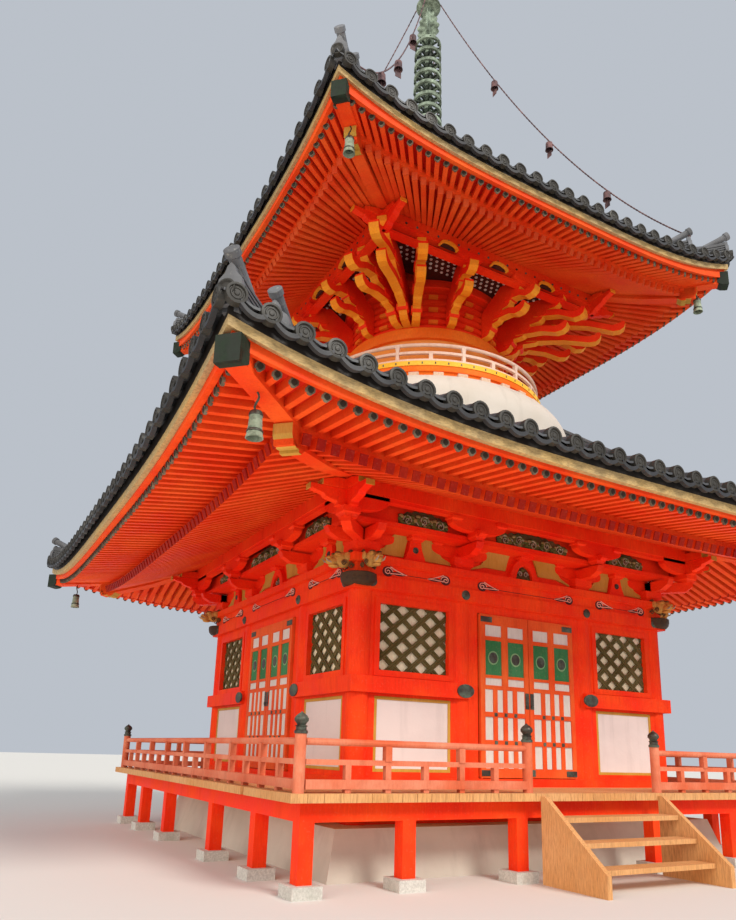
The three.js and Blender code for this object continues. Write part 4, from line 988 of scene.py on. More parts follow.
def eaves_of(e, label, fanned):
    """All the pieces of one storey's eaves, made from its sizes."""
    gap = e.tip + 0.012
    face = gap + 0.062
    red_low = e.flying(gap) - 0.02
    at = lambda r, z: (r, z, e.rafter_rise(r))
    steps_in = np.linspace(e.inner, e.base_tip, 7)
    steps_out = np.linspace(e.base_tip, gap, 5)
    soffit = [at(r, e.base(r)) for r in steps_in] + [at(r, e.flying(r)) for r in steps_out]
    soffit += [(gap, e.board_low, e.board_lift), (e.tip, e.board_low, e.board_lift)]
    soffit += [at(e.base_tip, e.flying(e.base_tip) + 0.04), at(e.inner, e.base(e.inner) + 0.04)]
    piece(f"{label}_soffit_boards", square_ring(soffit), soffit_shade_red)
    red_board = [(gap + 0.0003, red_low, e.rafter_rise(gap)), (face, red_low, e.rafter_rise(gap))]
    red_board += [(face, e.board_low, e.board_lift), (gap + 0.0003, e.board_low, e.board_lift)]
    parts, caps, centres, tip_shades = [square_ring(red_board)], [], [], []
    tiers = [(max(e.inner, e.purlin - 0.12), e.base_end, e.base_rafter, e.base)]
    tiers.append((e.base_tip - 0.02, e.tip, e.fly_rafter, e.flying))
    for low, high, depth, tier in tiers:
        starts, finishes = rafter_set(e, low, high, fanned, tier)
        width = depth * 0.8
        parts.append(all_round(bars(starts, finishes, plank(width, -depth, 0.006))))
        along = finishes - starts
        along /= np.linalg.norm(along, axis=1, keepdims=True)
        tips = finishes - along * 0.012
        if tier == e.flying:
            w, h, cut, middle = width / 2 + 0.010, depth / 2 + 0.004, 0.030, -depth / 2 - 0.012
            half_cap = [(-w + cut, -h), (w - cut, -h), (w, -h + cut), (w, h - cut)]
            round_cap = [(x, z + middle) for x, z in half_cap + [(-x, -z) for x, z in half_cap]]
            boss = [(0.66 * x, 0.66 * (z - middle) + middle) for x, z in round_cap]
            caps.append(all_round(bars(tips, finishes + along * 0.014, round_cap)))
            centres.append(all_round(bars(tips, finishes + along * 0.017, boss)))
        else:
            # Dark covers on the base rafters' ends: painted shade.
            tip = plank(width + 0.006, -depth - 0.003, 0.006)
            tip_shades.append(all_round(bars(tips, finishes + along * 0.004, tip)))
    beam_in, beam_out, beam_top = e.base_tip - 0.03, e.base_tip + 0.07, e.flying(e.base_tip) + 0.02
    beam = [at(beam_in, e.base(e.base_tip)), at(beam_out, e.base(beam_out) + 0.005)]
    parts.append(square_ring([*beam, at(beam_out, beam_top), at(beam_in, beam_top)]))
    under = lambda r, z, drop: (r * math.sqrt(2), z + e.rafter_rise(r) - drop)
    bend = (e.purlin + e.base_tip) / 2
    out = e.base_tip + 0.13
    end = e.edge - 0.03
    hip = [under(e.purlin + 0.002, e.purlin_top, 0.03), under(bend, e.base(bend), e.base_rafter + 0.075)]
    hip += [under(out, e.base(out), e.base_rafter + 0.09), under(out, e.flying(e.base_tip), e.fly_rafter + 0.07)]
    hip += [under(end, e.flying(end), e.fly_rafter + 0.09), under(end, e.flying(end), -0.01)]
    hip += [under(e.base_tip, e.flying(e.base_tip), -0.01), under(bend, e.base(bend), -0.02)]
    hip += [under(e.purlin + 0.002, e.purlin_top + e.base_rafter, -0.02)]
    parts.append(fins(hip, e.hip_width))
    piece(f"{label}_rafters_and_boards", parts, eave_red, replaces=[f"{label}_eaves"])
    piece(f"{label}_rafter_caps", caps, cap_rim)
    piece(f"{label}_cap_centres", centres, cap_black)
    piece(f"{label}_rafter_tips", tip_shades, upper_tip_shade if fanned else lower_tip_shade)
    top_z = under(end, e.flying(end), -0.03)[1]
    low_z = under(end, e.flying(end), e.fly_rafter + 0.13)[1]
    d = end * math.sqrt(2)
    cap = [(d - 0.16, low_z + 0.05), (d - 0.10, low_z + 0.01), (d - 0.03, low_z), (d + 0.012, low_z)]
    cap += [(d + 0.012, top_z), (d - 0.16, top_z)]
    piece(f"{label}_hip_caps", fins(cap, e.hip_width + 0.03), copper_green)
    d, z = under(out, e.base(out), e.base_rafter + 0.06)
    steps = [(d - 0.30, z + 0.02), (d - 0.22, z - 0.045), (d - 0.15, z - 0.05), (d - 0.15, z - 0.02)]
    steps += [(d - 0.08, z - 0.03), (d - 0.03, z), (d - 0.03, z + 0.03), (d + 0.012, z + 0.03)]
    steps += [(d + 0.03, z + 0.07), (d + 0.03, z + 0.17)]
    body = [(x - 0.006, y + 0.006) for x, y in steps]
    piece(f"{label}_hip_noses", fins([*body, (d - 0.306, z + 0.176)], e.hip_width), eave_red)
    # The ochre skins on the hip noses' stepped undersides are painted light: the glow of light thrown up from
    # below.
    piece(f"{label}_nose_underside_light", fins([*steps, *body[::-1]], e.hip_width), ochre_paint)
    rim = [(e.tip, e.board_low + 0.0003, e.board_lift), (e.edge, e.board_low + 0.0003, e.board_lift)]
    rim += [(e.edge, e.board_top, e.board_lift), (e.tip, e.board_top, e.board_lift)]
    piece(f"{label}_edge_board", square_ring(rim), bare_edge, replaces=[f"{label}_eave_board"])


storeys = ((lower, "lower"), (upper, "upper"))
for e, label in storeys:
    eaves_of(e, label, fanned=e is upper)


# A cast wind bell hangs from each hip rafter's end on a long bent hook. It is pale green, with a
# dark band round its shoulder and another one over its flared lip.
bell_dark = (0.03, 0.035, 0.028)
bell_bronze = metal("bell_bronze", (0.16, 0.19, 0.135), (0.34, 0.40, 0.30), bell_dark, 0.55, 0.3, (0.35, 0.55))
bells, bands = [], []
for e in (lower, upper):
    top = float(e.flying(e.bell_at) + e.rafter_rise(e.bell_at)) - e.fly_rafter - 0.09
    profile = [(0, -0.15), (0.02, -0.15), (0.045, -0.165), (0.056, -0.19), (0.058, -0.20), (0.055, -0.21)]
    profile += [(0.06, -0.30), (0.063, -0.31), (0.06, -0.32), (0.068, -0.36), (0.076, -0.395), (0.07, -0.4)]
    profile += [(0.058, -0.36), (0.048, -0.20), (0, -0.19)]
    bells.append(all_round(turned([(r, z + top) for r, z in profile], 20, (-e.bell_at, -e.bell_at))))
    hook = np.linspace(0, 1, 9)
    sway = 0.012 * np.sin(hook * 2 * np.pi)
    path = xyz(-e.bell_at + sway, -e.bell_at - sway, top - 0.155 * hook + 0.02 * (1 - hook))
    bands.append(all_round(tube(path, 0.010, 6)))
    for r, high, low in ((0.060, -0.155, -0.20), (0.070, -0.315, -0.345)):
        band = [(0.02, low), (r, low), (r, (high + low) / 2), (r * 0.8, high), (0.02, high), (0.02, low)]
        bands.append(all_round(turned([(x, z + top) for x, z in band], 20, (-e.bell_at, -e.bell_at))))
piece("wind_bells", bells, bell_bronze, smooth=True)
piece("wind_bell_bands", bands, black_bronze, smooth=True)


# The roofs are laid with grey fired tiles on a clay bed: shallow pans that overlap up the slope, and
# half-round covers over their joints. Each row is closed at the eaves by a round end with a boss.
def fired_clay(name, clean, soot, pale_moss):
    """Grey fired clay: each patch of tiles fired a little differently, with soot, lichen and moss."""
    clay = Finish(name, 0.55)
    clay.shader.inputs["Specular IOR Level"].default_value = 0.35
    batch = clay.noise(3.4, 2, (1, 1, 2))
    weather = clay.noise(1.3, 6).over(0.42, 0.68)
    spots = clay.noise(26, 4).over(0.60, 0.72)
    tone = clay.mix(batch.over(0.35, 0.65), clean, tuple(c * 1.25 for c in clean))
    tone = clay.mix(weather * 0.7, tone, soot)
    clay.colour(clay.mix(spots * 0.6, tone, pale_moss))
    clay.rough(0.45 + weather * 0.25 + spots * 0.15)
    clay.bump(clay.noise(60, 4), 0.002, 0.5)
    return clay.material


tile_grey = fired_clay("tile_grey", (0.060, 0.064, 0.074), (0.022, 0.022, 0.025), (0.16, 0.16, 0.145))
end_grey = fired_clay("end_grey", (0.027, 0.025, 0.022), (0.012, 0.011, 0.010), (0.075, 0.068, 0.056))
pan_dark = fired_clay("pan_dark", (0.022, 0.023, 0.028), (0.010, 0.010, 0.012), (0.06, 0.06, 0.062))
# The clay bed is near black: its edge over the ochre board is the painted shadow under the tile ends.
bed_painted_shade = fired_clay("bed_painted_shade", (0.010, 0.007, 0.006), (0.006, 0.005, 0.004), (0.012, 0.010, 0.008))
tile_row, tile_length = 0.292, 0.245
offsets = [-0.146, -0.105, -0.079, -0.077, -0.068, -0.04, 0, 0.04, 0.068, 0.077, 0.079, 0.105]
heights = [0.028, 0.036, 0.044, 0.050, 0.082, 0.112, 0.125, 0.112, 0.082, 0.050, 0.044, 0.036]


def tile_rows(e, limit):
    """The middles of the cover rows that lie nearer to a side's middle than the limit."""
    count = int(limit / tile_row) + 2
    rows = (np.arange(-count, count + 1) + e.first_row) * tile_row
    return rows[np.abs(rows) < limit]


def tiled_side(e):
    """One side's tiles: rows keep their x, and heights add the cover's round and the laps' steps."""
    rows = tile_rows(e, e.tile_edge + tile_row)
    x = (rows[:, None] + np.array(offsets)[None]).reshape(-1)
    swell = np.tile(heights, len(rows))
    inside = np.abs(x) <= e.tile_edge
    x, swell = x[inside], swell[inside]
    laps = np.arange(e.tile_edge - tile_length, e.bed_top + 0.05, -tile_length)
    r = np.sort(np.concatenate([[e.tile_edge, e.bed_top], laps - 0.0015, laps + 0.0015]))[::-1]
    up_slope = (e.tile_edge - r) % tile_length / tile_length
    step = 0.016 * (1 - up_slope)
    rr = np.maximum(r[:, None], np.abs(x)[None])
    z = e.bed(rr) + e.bed_rise(rr) * corner_rise(x[None], rr) + swell[None] + step[:, None]
    points = np.stack([np.broadcast_to(x, rr.shape), -rr, z], -1)
    lip = points[:1].copy()
    lip[..., 2] -= 0.024
    points = np.concatenate([lip, points])
    rows, columns = points.shape[:2]
    flat, faces = closed_grid(points, False, False)
    quads = np.array(faces)
    spread = np.ptp(flat[quads][..., 1], axis=1) + np.ptp(flat[quads][..., 2], axis=1)
    return flat, [f for f, s in zip(faces, spread) if s > 1e-5]


def eave_height(e, x):
    """The bed's height at the tiles' edge."""
    return e.bed(e.tile_edge) + e.bed_rise(e.tile_edge) * corner_rise(x, e.tile_edge)


def round_ends(e):
    """The rows' round ends: discs with a raised rim, a ring and a boss, facing out of the eaves."""
    disc = [(0, 0.014), (0.018, 0.012), (0.024, 0.004), (0.038, 0.004), (0.042, 0.011), (0.050, 0.011)]
    disc += [(0.056, 0.004), (0.066, 0.004), (0.071, 0.018), (0.090, 0.015), (0.093, -0.05), (0, -0.05)]
    places = tile_rows(e, e.tile_edge - 0.1)
    shapes = [facing_front(turned(disc, 18), x, -e.tile_edge, float(eave_height(e, x)) + 0.064) for x in places]
    return all_round(shapes)


def pan_ends(e):
    """The pans' lips: plates that sag between the discs, z falling by 0.052 (1 - (x / half)^2)."""
    share = np.linspace(-1, 1, 9)
    shapes = []
    for row in tile_rows(e, e.tile_edge - 0.1)[:-1]:
        x = row + tile_row / 2 + share * 0.115
        top = eave_height(e, x) + 0.034 - 0.052 * (1 - share**2)
        front, back = -e.tile_edge - 0.016, -e.tile_edge + 0.03
        rows = [(front, 0.0), (front, -0.042), (back, -0.042), (back, 0.0)]
        points = np.stack([xyz(x, y, top + drop) for y, drop in rows])
        flat, faces = closed_grid(points, loop_columns=False)
        faces += [tuple(i * 9 for i in range(4))[::-1], tuple(i * 9 + 8 for i in range(4))]
        shapes.append((flat, faces))
    return all_round(shapes)


def bed_ring(e):
    """The clay bed: its upper face follows the slope, and its outer edge shows over the ochre board as a painted
    shadow band.
    """
    tops = np.linspace(e.edge, e.bed_top, 12)
    outline = [(r, e.bed(r) - 0.11, e.bed_rise(r)) for r in tops[:0:-1]]
    outline += [(e.tip, e.board_top + 0.0003, e.board_lift), (e.edge, e.board_top + 0.0003, e.board_lift)]
    return square_ring(outline + [(r, float(e.bed(r)) + 0.02, e.bed_rise(r)) for r in tops])


for e, label in storeys:
    piece(f"{label}_tiles", all_round(tiled_side(e)), tile_grey, smooth=True)
    piece(f"{label}_tile_ends", round_ends(e), end_grey, smooth=True)
    piece(f"{label}_pan_ends", pan_ends(e), pan_dark, smooth=True)
    piece(f"{label}_tile_bed", bed_ring(e), bed_painted_shade, replaces=[f"{label}_roof"])


# A ridge runs down each hip: courses of flat tiles bedded in plaster under a row of half-round ones. It
# ends well before the corner in a pointed crest tile, and a low ridge goes on from there to the tip.
# A round horn tile rises outwards over each crest.
def hip_path(e, high, low, count=14, curl=0.0):
    """Points on the tile bed along the hip over the near left corner. The last 0.7 m curls upwards,
    by curl * (share of it)^2.2."""
    r = np.linspace(high, low, count)
    share = np.clip(1 - (low - r) / 0.5, 0, 1)
    return xyz(-r, -r, e.bed(r) + e.bed_rise(r) + curl * share**2.2)


def ridge_profile(half, courses, course):
    """Projecting flat tiles in courses, and the round cover tile on top."""
    side = [(half * 0.86, -0.15)]
    for i in range(courses):
        z = (i + 1) * course
        side += [(half * 0.86, z - 0.014), (half, z - 0.014), (half, z + 0.006), (half * 0.86, z + 0.006)]
    top = courses * course + 0.006
    return side + arc(0, top + 0.01, 0.072, 0.062, np.linspace(0, np.pi, 9)) + other_half(side)


def crest(at, outline, thick):
    """A crest tile across the hip: an upright plate, its outline (sideways, upwards) mirrored."""
    step = np.array([-thick, -thick, 0.0]) / math.sqrt(2)
    return swept([at, at + step], outline + other_half(outline[1:]))


def spun(shape, angles):
    """The shape turned about the upright axis by each angle."""
    points, faces = shape
    copies = []
    for angle in angles:
        c, s = math.cos(angle), math.sin(angle)
        copies.append((points @ np.array([[c, s, 0], [-s, c, 0], [0, 0, 1.0]]), faces))
    return merged(copies)


def placed(shape, x, y, z):
    """The shape moved to a place."""
    return shape[0] + (x, y, z), shape[1]


ridge_grey = fired_clay("ridge_grey", (0.085, 0.088, 0.098), (0.035, 0.035, 0.038), (0.22, 0.22, 0.20))
pale_tile = fired_clay("pale_tile", (0.13, 0.135, 0.15), (0.06, 0.06, 0.065), (0.30, 0.30, 0.28))
big_crest = [(0.0, 0.46), (0.035, 0.43), (0.06, 0.35), (0.13, 0.29), (0.16, 0.20), (0.145, 0.10), (0.17, -0.02)]
tip_crest = [(0.0, 0.33), (0.03, 0.30), (0.05, 0.24), (0.095, 0.19), (0.11, 0.12), (0.10, 0.05), (0.12, -0.04)]
for e, label in storeys:
    stop = e.edge - e.ridge_stop
    run = swept(hip_path(e, e.bed_top - 0.04, stop, 22, 0.12), ridge_profile(0.105, 4, 0.045))
    low_run = swept(hip_path(e, stop + 0.02, e.edge - 0.02, 8, 0.07), ridge_profile(0.085, 4, 0.040))
    piece(f"{label}_hip_ridges", all_round([run, low_run]), ridge_grey, smooth=True)
    stop_at, tip_at = hip_path(e, stop, e.edge - 0.02, 2)
    crests = [crest(stop_at, big_crest, 0.06), crest(tip_at, tip_crest, 0.05)]
    for foot, height in ((stop_at, 0.52), (tip_at, 0.40)):
        out = np.array([-0.22, -0.16, -0.06, 0.01, 0.015, 0.05, 0.055])
        horn = foot + xyz(-out, -out, height + 0.75 * out + 0.6 * out**2)
        crests.append(tube(horn, (0.045, 0.050, 0.054, 0.056, 0.070, 0.070, 0.052), 16))
    piece(f"{label}_ridge_ends", all_round(crests), pale_tile)
    tip_disc = [(0, 0.014), (0.03, 0.010), (0.05, 0.004), (0.066, 0.016), (0.08, 0.012), (0.08, -0.12), (0, -0.12)]
    tip_disc = spun(facing_front(turned(tip_disc, 18), 0, 0, 0), [-math.pi / 4])
    r = e.edge + 0.05
    tip_disc = placed(tip_disc, -r, -r, float(e.bed(r) + e.bed_rise(r)) + 0.07)
    piece(f"{label}_corner_tiles", all_round(tip_disc), end_grey, smooth=True)


# The dome is a thick shell of lime plaster on a timber frame. Round its top the beams that carry the
# balcony show their pale ends.
dome_plaster = plastered("dome_plaster", (0.56, 0.51, 0.46), (0.45, 0.39, 0.32), -3)
shell = [(2.34, 5.45), (2.45, 5.45), *arc(1.9, 6.13, 0.55, 0.59, np.linspace(0, np.pi / 2, 16))]
shell += [(1.21, 6.72), (1.21, 6.62), (1.95, 6.6), (2.27, 6.3)]


def hoop(outline, sides=120):
    """A ring round the upright axis, from its closed section (radius, height)."""
    return turned([*outline, outline[0]], sides)


piece("dome_shell", hoop(shell), dome_plaster, smooth=True, replaces=["dome"])
faded_ends = weathered("faded_ends", (0.66, 0.50, 0.36), (0.60, 0.36, 0.26), (0.42, 0.24, 0.16), (4, 4, 4))


def round_about(shape, count, first=0.0):
    """The shape and its copies turned about the upright axis, evenly spaced."""
    return spun(shape, first + np.arange(count) * (2 * np.pi / count))


beam_end = blocks([(1.96, -0.075, 6.56)], [(2.13, 0.075, 6.7195)])
piece("balcony_beam_ends", round_about(beam_end, 36, 0.05), faded_ends)


# The balcony is a ring of boards over a curved beam: the boards' ends, painted yellow, are nailed down
# one by one, and the beam below is orange.
yellow_paint = painted("yellow_paint", (0.88, 0.45, 0.03), (0.94, 0.58, 0.09), (0.66, 0.24, 0.03), (6, 6, 6), 0.3)
orange_tones = (0.86, 0.13, 0.010), (0.92, 0.22, 0.02), (0.60, 0.09, 0.02)
orange_paint = painted("orange_paint", *orange_tones, (6, 6, 3), 0.25)
beam_ring = [(1.35, 6.7205), (1.985, 6.7205), (1.99, 6.79), (2.018, 6.795), (2.018, 6.884), (1.35, 6.884)]
piece("balcony_beam", hoop(beam_ring), orange_paint, smooth=True, replaces=["balcony"])
piece("balcony_boards", hoop(box(1.35, 2.03, 6.885, 6.96)), yellow_paint, smooth=True)
nail = blocks([(2.025, -0.009, 6.905)], [(2.034, 0.009, 6.938)])
piece("balcony_nails", round_about(nail, 64), black_bronze)


# Its railing follows the ring: a round top rail, a flat one below it and a sill, on posts that widen
# towards their heads, with a short strut between each two. The paint has faded like the one below.
ring_line, post_foot, post_turn = 1.94, 6.98, math.pi / 12
top_ring = arc(ring_line, 7.268, 0.030, 0.030, np.arange(10) * math.pi / 5)
mid_ring = box(ring_line - 0.022, ring_line + 0.022, 7.115, 7.155)
sill_ring = box(ring_line - 0.035, ring_line + 0.035, 6.961, 7.02)
tall = [(-0.026, 0.0), (-0.024, 0.2), (-0.04, 0.285)]
short = [(-0.03, 0.0), (-0.03, 0.12), (-0.042, 0.155)]
railing = [hoop(top_ring), hoop(mid_ring), hoop(sill_ring)]
for half_post, first_turn in ((tall, post_turn), (short, 2 * post_turn)):
    outline = [(x, z + post_foot) for x, z in half_post + other_half(half_post)]
    post = swept([(ring_line - 0.026, 0, 0), (ring_line + 0.026, 0, 0)], outline)
    railing.append(round_about(post, 12, first_turn))
pale_rail = painted("pale_rail", (0.78, 0.50, 0.38), (0.84, 0.64, 0.54), (0.55, 0.24, 0.14), (3, 3, 3), 0.5)
piece("balcony_rails", railing, pale_rail, smooth=True, replaces=["balcony_railing"])


# Behind it stands the round wall, plastered and washed orange up to a broad bent beam. Over the beam,
# curved beams lie one on the other between the bracket arms, with a shadow gap under each.
wall_wash = plastered("wall_wash", (0.86, 0.30, 0.05), (0.78, 0.17, 0.03), -3)
drum_inside, course_step = 1.21, 0.115
drum_wall = box(drum_inside, 1.33, 6.72, 7.722)
ring_beam = [(drum_inside, 7.72), (1.40, 7.72), (1.405, 7.74), (1.405, 7.88), (1.40, 7.90), (drum_inside, 7.90)]
courses = [(1.22, 7.9)]
for z in 7.915 + np.arange(11) * course_step:
    courses += [(1.27, z), (1.33, z + 0.004), (1.33, z + 0.073), (1.27, z + 0.08)]
courses += [(1.27, 9.17), (1.22, 9.17)]
corbel = [(1.25, 8.60), (1.44, 8.60), (1.455, 8.615), (1.455, 8.74), (1.44, 8.755), (1.25, 8.755)]
piece("drum_wall", hoop(drum_wall, 96), wall_wash, smooth=True, replaces=["drum"])
piece("drum_ring_beam", hoop(ring_beam, 96), orange_paint, smooth=True)
piece("drum_courses", [hoop(courses, 96), hoop(corbel, 96)], sheltered_red, smooth=True)
# Small bearing blocks in bright orange on three turns of the courses are painted highlights.
block_lows = np.array([8.015, 8.245, 8.475])
small_blocks = blocks(xyz(1.31, -0.075, block_lows), xyz(1.365, 0.075, block_lows + 0.05))
lit_blocks = spun(small_blocks, np.radians([0, 27, 63]))
piece("drum_highlight_blocks", all_round(lit_blocks), orange_paint)


# Twenty arms run out from the round wall to the square purlin, three from each corner's foot block and
# two between the corners' sets. Each climbs in four steps, an arm with a block on its end, and sends
# out two sloping tongues. Orange strips on the undersides of arms and tongues are painted light from
# below. Short arms over the last blocks carry the purlin.
def slab(outline, width):
    """An upright slab in the plane of +x: outline points are (distance out, height)."""
    return swept([(0, width / 2, 0), (0, -width / 2, 0)], [(-x, z) for x, z in outline])


arm_foot, arm_step, arm_top = 7.96, 0.19, 8.7995


def arm_steps(stride):
    """The underside of a stepped arm from the wall to its last block."""
    line = [(0, arm_foot)]
    for i in range(4):
        z, nose = arm_foot + arm_step * i, stride * (i + 1)
        line += [(nose - stride * back, z + up) for back, up in ((0.72, 0.004), (0.42, 0.012), (0.24, 0.045))]
        line += [(nose - stride * 0.14, z + 0.095), (nose - 0.02, z + 0.10)]
        line += [(nose + 0.02, z + 0.135), (nose + 0.02, z + arm_step)]
    return line


def skin(line, thick, width):
    """A thin strip under a line of points, as painted light on an arm's underside."""
    path = np.asarray(line, float)
    along = np.gradient(path, axis=0)
    along /= np.linalg.norm(along, axis=1, keepdims=True)
    below = path + np.stack([along[:, 1], -along[:, 0]], -1) * thick
    return slab([*map(tuple, path), *map(tuple, below[::-1])], width)


def tongue(root, tip, z0, z1, thick=0.115):
    """A tongue that slopes down outwards to a rounded tip that curls up: its outline and its underside."""
    middle = (root + tip) / 2
    between = (z0 + z1) / 2
    under = [(root, z0 - thick), (middle, between - thick * 0.85), (tip - 0.2, z1 - thick * 1.05)]
    under += [(tip - 0.09, z1 - thick), (tip - 0.025, z1 - thick * 0.6), (tip, z1)]
    top = [(tip - 0.012, z1 + 0.045), (tip - 0.05, z1 + 0.055), (tip - 0.10, z1 + 0.018), (tip - 0.2, z1 - 0.004)]
    return [*under, *top, (middle, between + 0.012), (root, z0)], under


foot_radius, square_line, skin_depth = 1.3306, 2.04, 0.005
arms, unders = [], []
arm_sets = [(-30, -30, 0.46, 0.0), (-10.7, -5.5, 0.66, 0.14), (0, 0, 0.92, 0.17)]
arm_sets += [(10.7, 5.5, 0.66, 0.14), (30, 30, 0.46, 0.0)]
for offset, foot_offset, beyond, dip in arm_sets:
    angle, start = math.radians(45 + offset), math.radians(45 + foot_offset)
    tip_radius = square_line / max(abs(math.cos(angle)), abs(math.sin(angle))) + 0.04
    tip_at = tip_radius * np.array([math.cos(angle), math.sin(angle)])
    foot_at = foot_radius * np.array([math.cos(start), math.sin(start)])
    length = float(np.linalg.norm(tip_at - foot_at))
    heading = math.atan2(*(tip_at - foot_at)[::-1])
    stride = length / 4
    underside = arm_steps(stride)
    shapes = [slab([*underside, (length, arm_top), (stride * 2.2, arm_top), (0, 8.41)], 0.13)]
    for i in range(4):
        z, nose = arm_foot + arm_step * i, stride * (i + 1)
        block = [(-0.125, 0.094), (-0.01, 0.094), (0.022, 0.13), (0.022, 0.186), (-0.155, 0.186), (-0.155, 0.13)]
        shapes.append(slab([(nose + x, z + up) for x, up in block], 0.18))
    light_strips = [skin(underside, skin_depth, 0.132)]
    tongues = [(stride * 1.2, stride * 2 + beyond, 8.32, 8.27 - 0.6 * dip)]
    tongues.append((stride * 2.3, stride * 3 + beyond, 8.58, 8.50 - dip))
    if offset == 0:
        tongues.append((length - 0.35, length + 0.12, arm_top, 8.75))
    for root, tip, z0, z1 in tongues:
        outline, below = tongue(root, tip, z0, z1)
        shapes.append(slab(outline, 0.14))
        light_strips.append(skin(below, skin_depth, 0.142))
    for target, made in ((arms, shapes), (unders, light_strips)):
        target.append(all_round(placed(spun(merged(made), [heading]), *foot_at, 0)))
lower_bar = [(1.96, 8.60), (2.10, 8.60), (2.10, 8.642), (2.0, 8.642), (2.0, 8.735), (2.115, 8.735)]
arms.append(square_ring([*lower_bar, (2.115, 8.778), (2.08, 8.778), (2.08, arm_top), (1.96, arm_top)], 2))
arms.append(crossing(stepped_nose(square_line, 8.80, 0.53), 0.10, square_line))
for x in (-0.55, 0.55):
    arms.append(all_round(plate(boat(0.24, 8.64, 8.76, 0.05, 0.05), -2.15, -1.98, x)))
    arms += [all_round(bearing(x + aside, -2.08, 8.745, 0.05, 0.055)) for aside in (-0.19, 0.19)]
piece("upper_bracket_arms", arms, sheltered_red, replaces=["upper_brackets"])
# Orange: the arms' end faces, and painted light on the undersides of arms and tongues.
underside_light_tones = (0.90, 0.25, 0.012), (0.94, 0.36, 0.03), (0.66, 0.15, 0.02)
end_paint_and_underside_light = painted("end_paint_and_underside_light", *underside_light_tones, (6, 6, 6), 0.25)
unders.append(crossing(box(2.568, 2.578, 8.745, 8.799), 0.106, square_line))
# Orange arches on the tie are painted light on the tongues' undersides; the dark plates inside them are painted
# shade.
half_turn, arch_lines = np.linspace(0, math.pi, 9), (-0.97, 0.0, 0.97)
arched = arc(0, 8.69, 0.17, 0.10, half_turn) + arc(0, 8.69, 0.135, 0.068, half_turn[::-1])
unders += [all_round(plate(arched, -2.17, -2.10, x)) for x in arch_lines]
piece("upper_arm_underside_light", unders, end_paint_and_underside_light)


# A dark board closes the tier from below, level between the wall and the purlin's tie, studded with
# white nail heads. Dark plates behind the tie's bars and in its arched openings are painted shade, and
# small square studs sit along the foot of the purlin.
outer, inner, board_low, board_high = 1.97, 1.2, 8.76, 8.78
strips = [(-outer, outer, -outer, -inner), (-outer, outer, inner, outer)]
strips += [(-outer, -inner, -inner, inner), (inner, outer, -inner, inner)]
strips = np.array(strips)
ceiling = blocks(xyz(strips[:, 0], strips[:, 2], board_low), xyz(strips[:, 1], strips[:, 3], board_high))
recess = square_ring(box(1.9985, 2.006, 8.643, 8.734), 2)
hollow = arc(0, 8.689, 0.136, 0.07, half_turn)
hollows = [all_round(plate(hollow, -2.125, -2.10, x)) for x in arch_lines]
dark_board_and_painted_shade = painted("dark_board_and_painted_shade", (0.05, 0.012, 0.010), (0.09, 0.022, 0.016), (0.03, 0.01, 0.01), (5, 5, 5), 0.3)
piece("dotted_board_and_shade", [ceiling, recess, *hollows], dark_board_and_painted_shade)

stud, stud_step = turned([(0, -0.020), (0.018, -0.014), (0.027, 0), (0, 0)], 10), 0.11
stud_lines = np.arange(-1.54, 1.55, stud_step)
rows = [(x + stud_step / 2 * (j % 2), -1.50 - 0.095 * j) for j in range(5) for x in stud_lines]
studs = [placed(stud, x, y, 8.7602) for x, y in rows]
piece("board_studs", all_round(studs), white_wash, smooth=True)
diamond = [(-0.022, 8.835), (0, 8.813), (0.022, 8.835), (0, 8.857)]
purlin_studs = [plate(diamond, -2.118, -2.109, x) for x in np.arange(-1.9, 1.91, 0.19)]
piece("purlin_studs", all_round(purlin_studs), black_bronze)


# The finial is cast bronze, green with age: a box and an inverted bowl on the roof's top, a lotus, nine
# spoked rings with small bells on one shaft, a crest of four flame-shaped fins, and a jewel at the tip.
green_tones = (0.07, 0.09, 0.065), (0.34, 0.42, 0.33), (0.03, 0.035, 0.03)
green_bronze = metal("green_bronze", *green_tones, 0.6, 0.3, (0.36, 0.60))
# The hubs, spokes and small bells under the rings are a much darker bronze: painted shade under the rings.
shade_tones = (0.018, 0.024, 0.018), (0.07, 0.10, 0.07), (0.008, 0.009, 0.008)
bronze_painted_shade = metal("bronze_painted_shade", *shade_tones, 0.6, 0.2, (0.45, 0.70))


def petalled(profile, petals, depth, sides=96):
    """A turned body whose radius swells into petals: r (1 + depth (|cos(petals a / 2)| - 1))."""
    points, faces = turned(profile, sides)
    angle = np.arctan2(points[:, 1], points[:, 0])
    swell = 1 + depth * (np.abs(np.cos(petals * angle / 2)) - 1)
    return points * np.stack([swell, swell, np.ones(len(points))], -1), faces


plinth = blocks([(-0.4, -0.4, 12.0), (-0.43, -0.43, 12.35)], [(0.4, 0.4, 12.36), (0.43, 0.43, 12.41)])
bowl = [(0, 12.4), (0.33, 12.4), (0.345, 12.46), (0.335, 12.54), (0.29, 12.63), (0.2, 12.69)]
bowl += [(0.12, 12.72), (0, 12.72)]
lotus = [(0, 12.71), (0.12, 12.715), (0.22, 12.74), (0.32, 12.81), (0.37, 12.90), (0.33, 12.885)]
lotus += [(0.24, 12.83), (0.1, 12.88), (0, 12.89)]
shaft_line = [(0, 12.7), (0.06, 12.7), (0.06, 16.5), (0.1, 16.56), (0.12, 16.62), (0.1, 16.68), (0.06, 16.73)]
shaft_line += [(0.11, 16.80), (0.15, 16.88), (0.135, 16.96), (0.09, 17.03), (0.03, 17.11), (0, 17.15)]
parts, rims, wheels = [plinth, turned(bowl, 48), petalled(lotus, 8, 0.22), turned(shaft_line, 32)], [], []
spoke = bars([(0.05, 0, 0)], [(0.27, 0, 0)], plank(0.034, -0.014, 0.014))
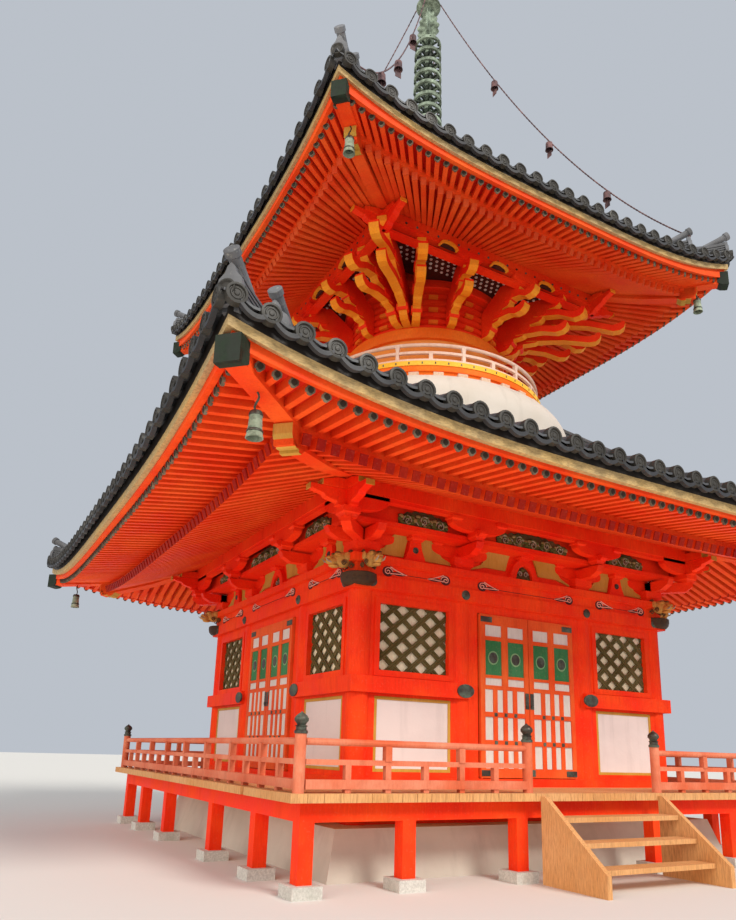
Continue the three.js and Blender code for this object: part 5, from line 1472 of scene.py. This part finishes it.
bell_line = [(0, -0.085), (0.024, -0.088), (0.019, -0.06), (0.012, -0.035), (0.004, -0.03), (0.004, 0), (0, 0)]
ring_bell = turned(bell_line, 8)
first_ring, ring_step, ring_radius, taper = 12.945, 0.28, 0.292, 0.003
for i in range(9):
    z, r = first_ring + ring_step * i, ring_radius - taper * i
    band = [(-0.045, -0.03), (0, -0.034), (0.002, 0), (0, 0.034), (-0.045, 0.03)]
    rims.append(hoop([(r + x, z + up) for x, up in band], 48))
    hub = [(0.05, -0.09), (0.085, -0.085), (0.1, -0.03), (0.1, 0.03), (0.085, 0.085), (0.05, 0.09)]
    wheels.append(hoop([(x, z + up) for x, up in hub], 24))
    for shape, x, up in ((spoke, 0, 0), (ring_bell, r - 0.016, -0.03)):
        wheels.append(round_about(placed(shape, x, 0, z + up), 8, math.pi / 8))
flame_foot, flame_height, share = 15.32, 0.8, np.linspace(0, 1, 25)
flame_edge = 0.075 + 0.14 * np.sin(np.pi * share**0.8) + 0.022 * np.sin(share * 9 * np.pi)
flame = [(0.05, flame_foot), *zip(flame_edge, flame_foot + flame_height * share), (0.05, 16.13)]
fin = plate(flame, -0.011, 0.011)
collar = [(0.05, 15.24), (0.11, 15.27), (0.13, 15.31), (0.10, 15.34), (0.05, 15.34), (0.05, 15.24)]
crown = [(0.05, 16.19), (0.22, 16.19), (0.25, 16.205), (0.25, 16.235), (0.22, 16.25), (0.05, 16.25)]
parts += [round_about(fin, 4, math.pi / 4), petalled(collar, 8, 0.1), hoop(crown, 40)]
piece("spire", parts, green_bronze, smooth=True, replaces=["finial"])
piece("spire_rings", rims, green_bronze, smooth=True)
piece("spire_wheels", wheels, bronze_painted_shade, smooth=True)


# Four bronze chains hang from the crown to the crest tiles of the upper roof. Small bells with wind
# plates hang on them, brown with dark gaps.
brown_tones = (0.07, 0.04, 0.045), (0.22, 0.12, 0.12), (0.02, 0.015, 0.02)
chain_brown = metal("chain_brown", *brown_tones, 0.6, 0.2, (0.42, 0.62))
link_count, chain_sag = 190, 0.85
share = np.linspace(0, 1, link_count)
crown_end, roof_end = np.array([-0.1785, -0.1785, 16.23]), np.array([-3.248, -3.248, 9.872])
chain_line = crown_end + (roof_end - crown_end) * share[:, None]
chain_line[:, 2] -= chain_sag * 4 * share * (1 - share)
links = tube(chain_line, 0.009 + 0.005 * (np.arange(link_count) % 2), 6)
hanging = [(0, -0.03), (0.03, -0.03), (0.062, -0.06), (0.066, -0.17), (0.076, -0.21), (0.06, -0.20)]
hanging = turned([*hanging, (0.05, -0.08), (0, -0.07)], 16)
plate_lows = [(-0.055, -0.004, -0.36), (-0.005, -0.004, -0.25)]
wind_plate = blocks(plate_lows, [(0.055, 0.004, -0.25), (0.005, 0.004, -0.02)])
bell = merged([hanging, wind_plate, turned(box(0, 0.006, -0.04, 0), 6)])
hung = [placed(bell, *chain_line[int(round(along * (link_count - 1)))]) for along in (0.25, 0.478, 0.7)]
for turn, side in enumerate(side_names):
    shape, node = all_round([links, *hung], (turn,)), f"chain_{side}"
    piece(f"{side}_chain_and_bells", shape, chain_brown, smooth=True, replaces=[node])
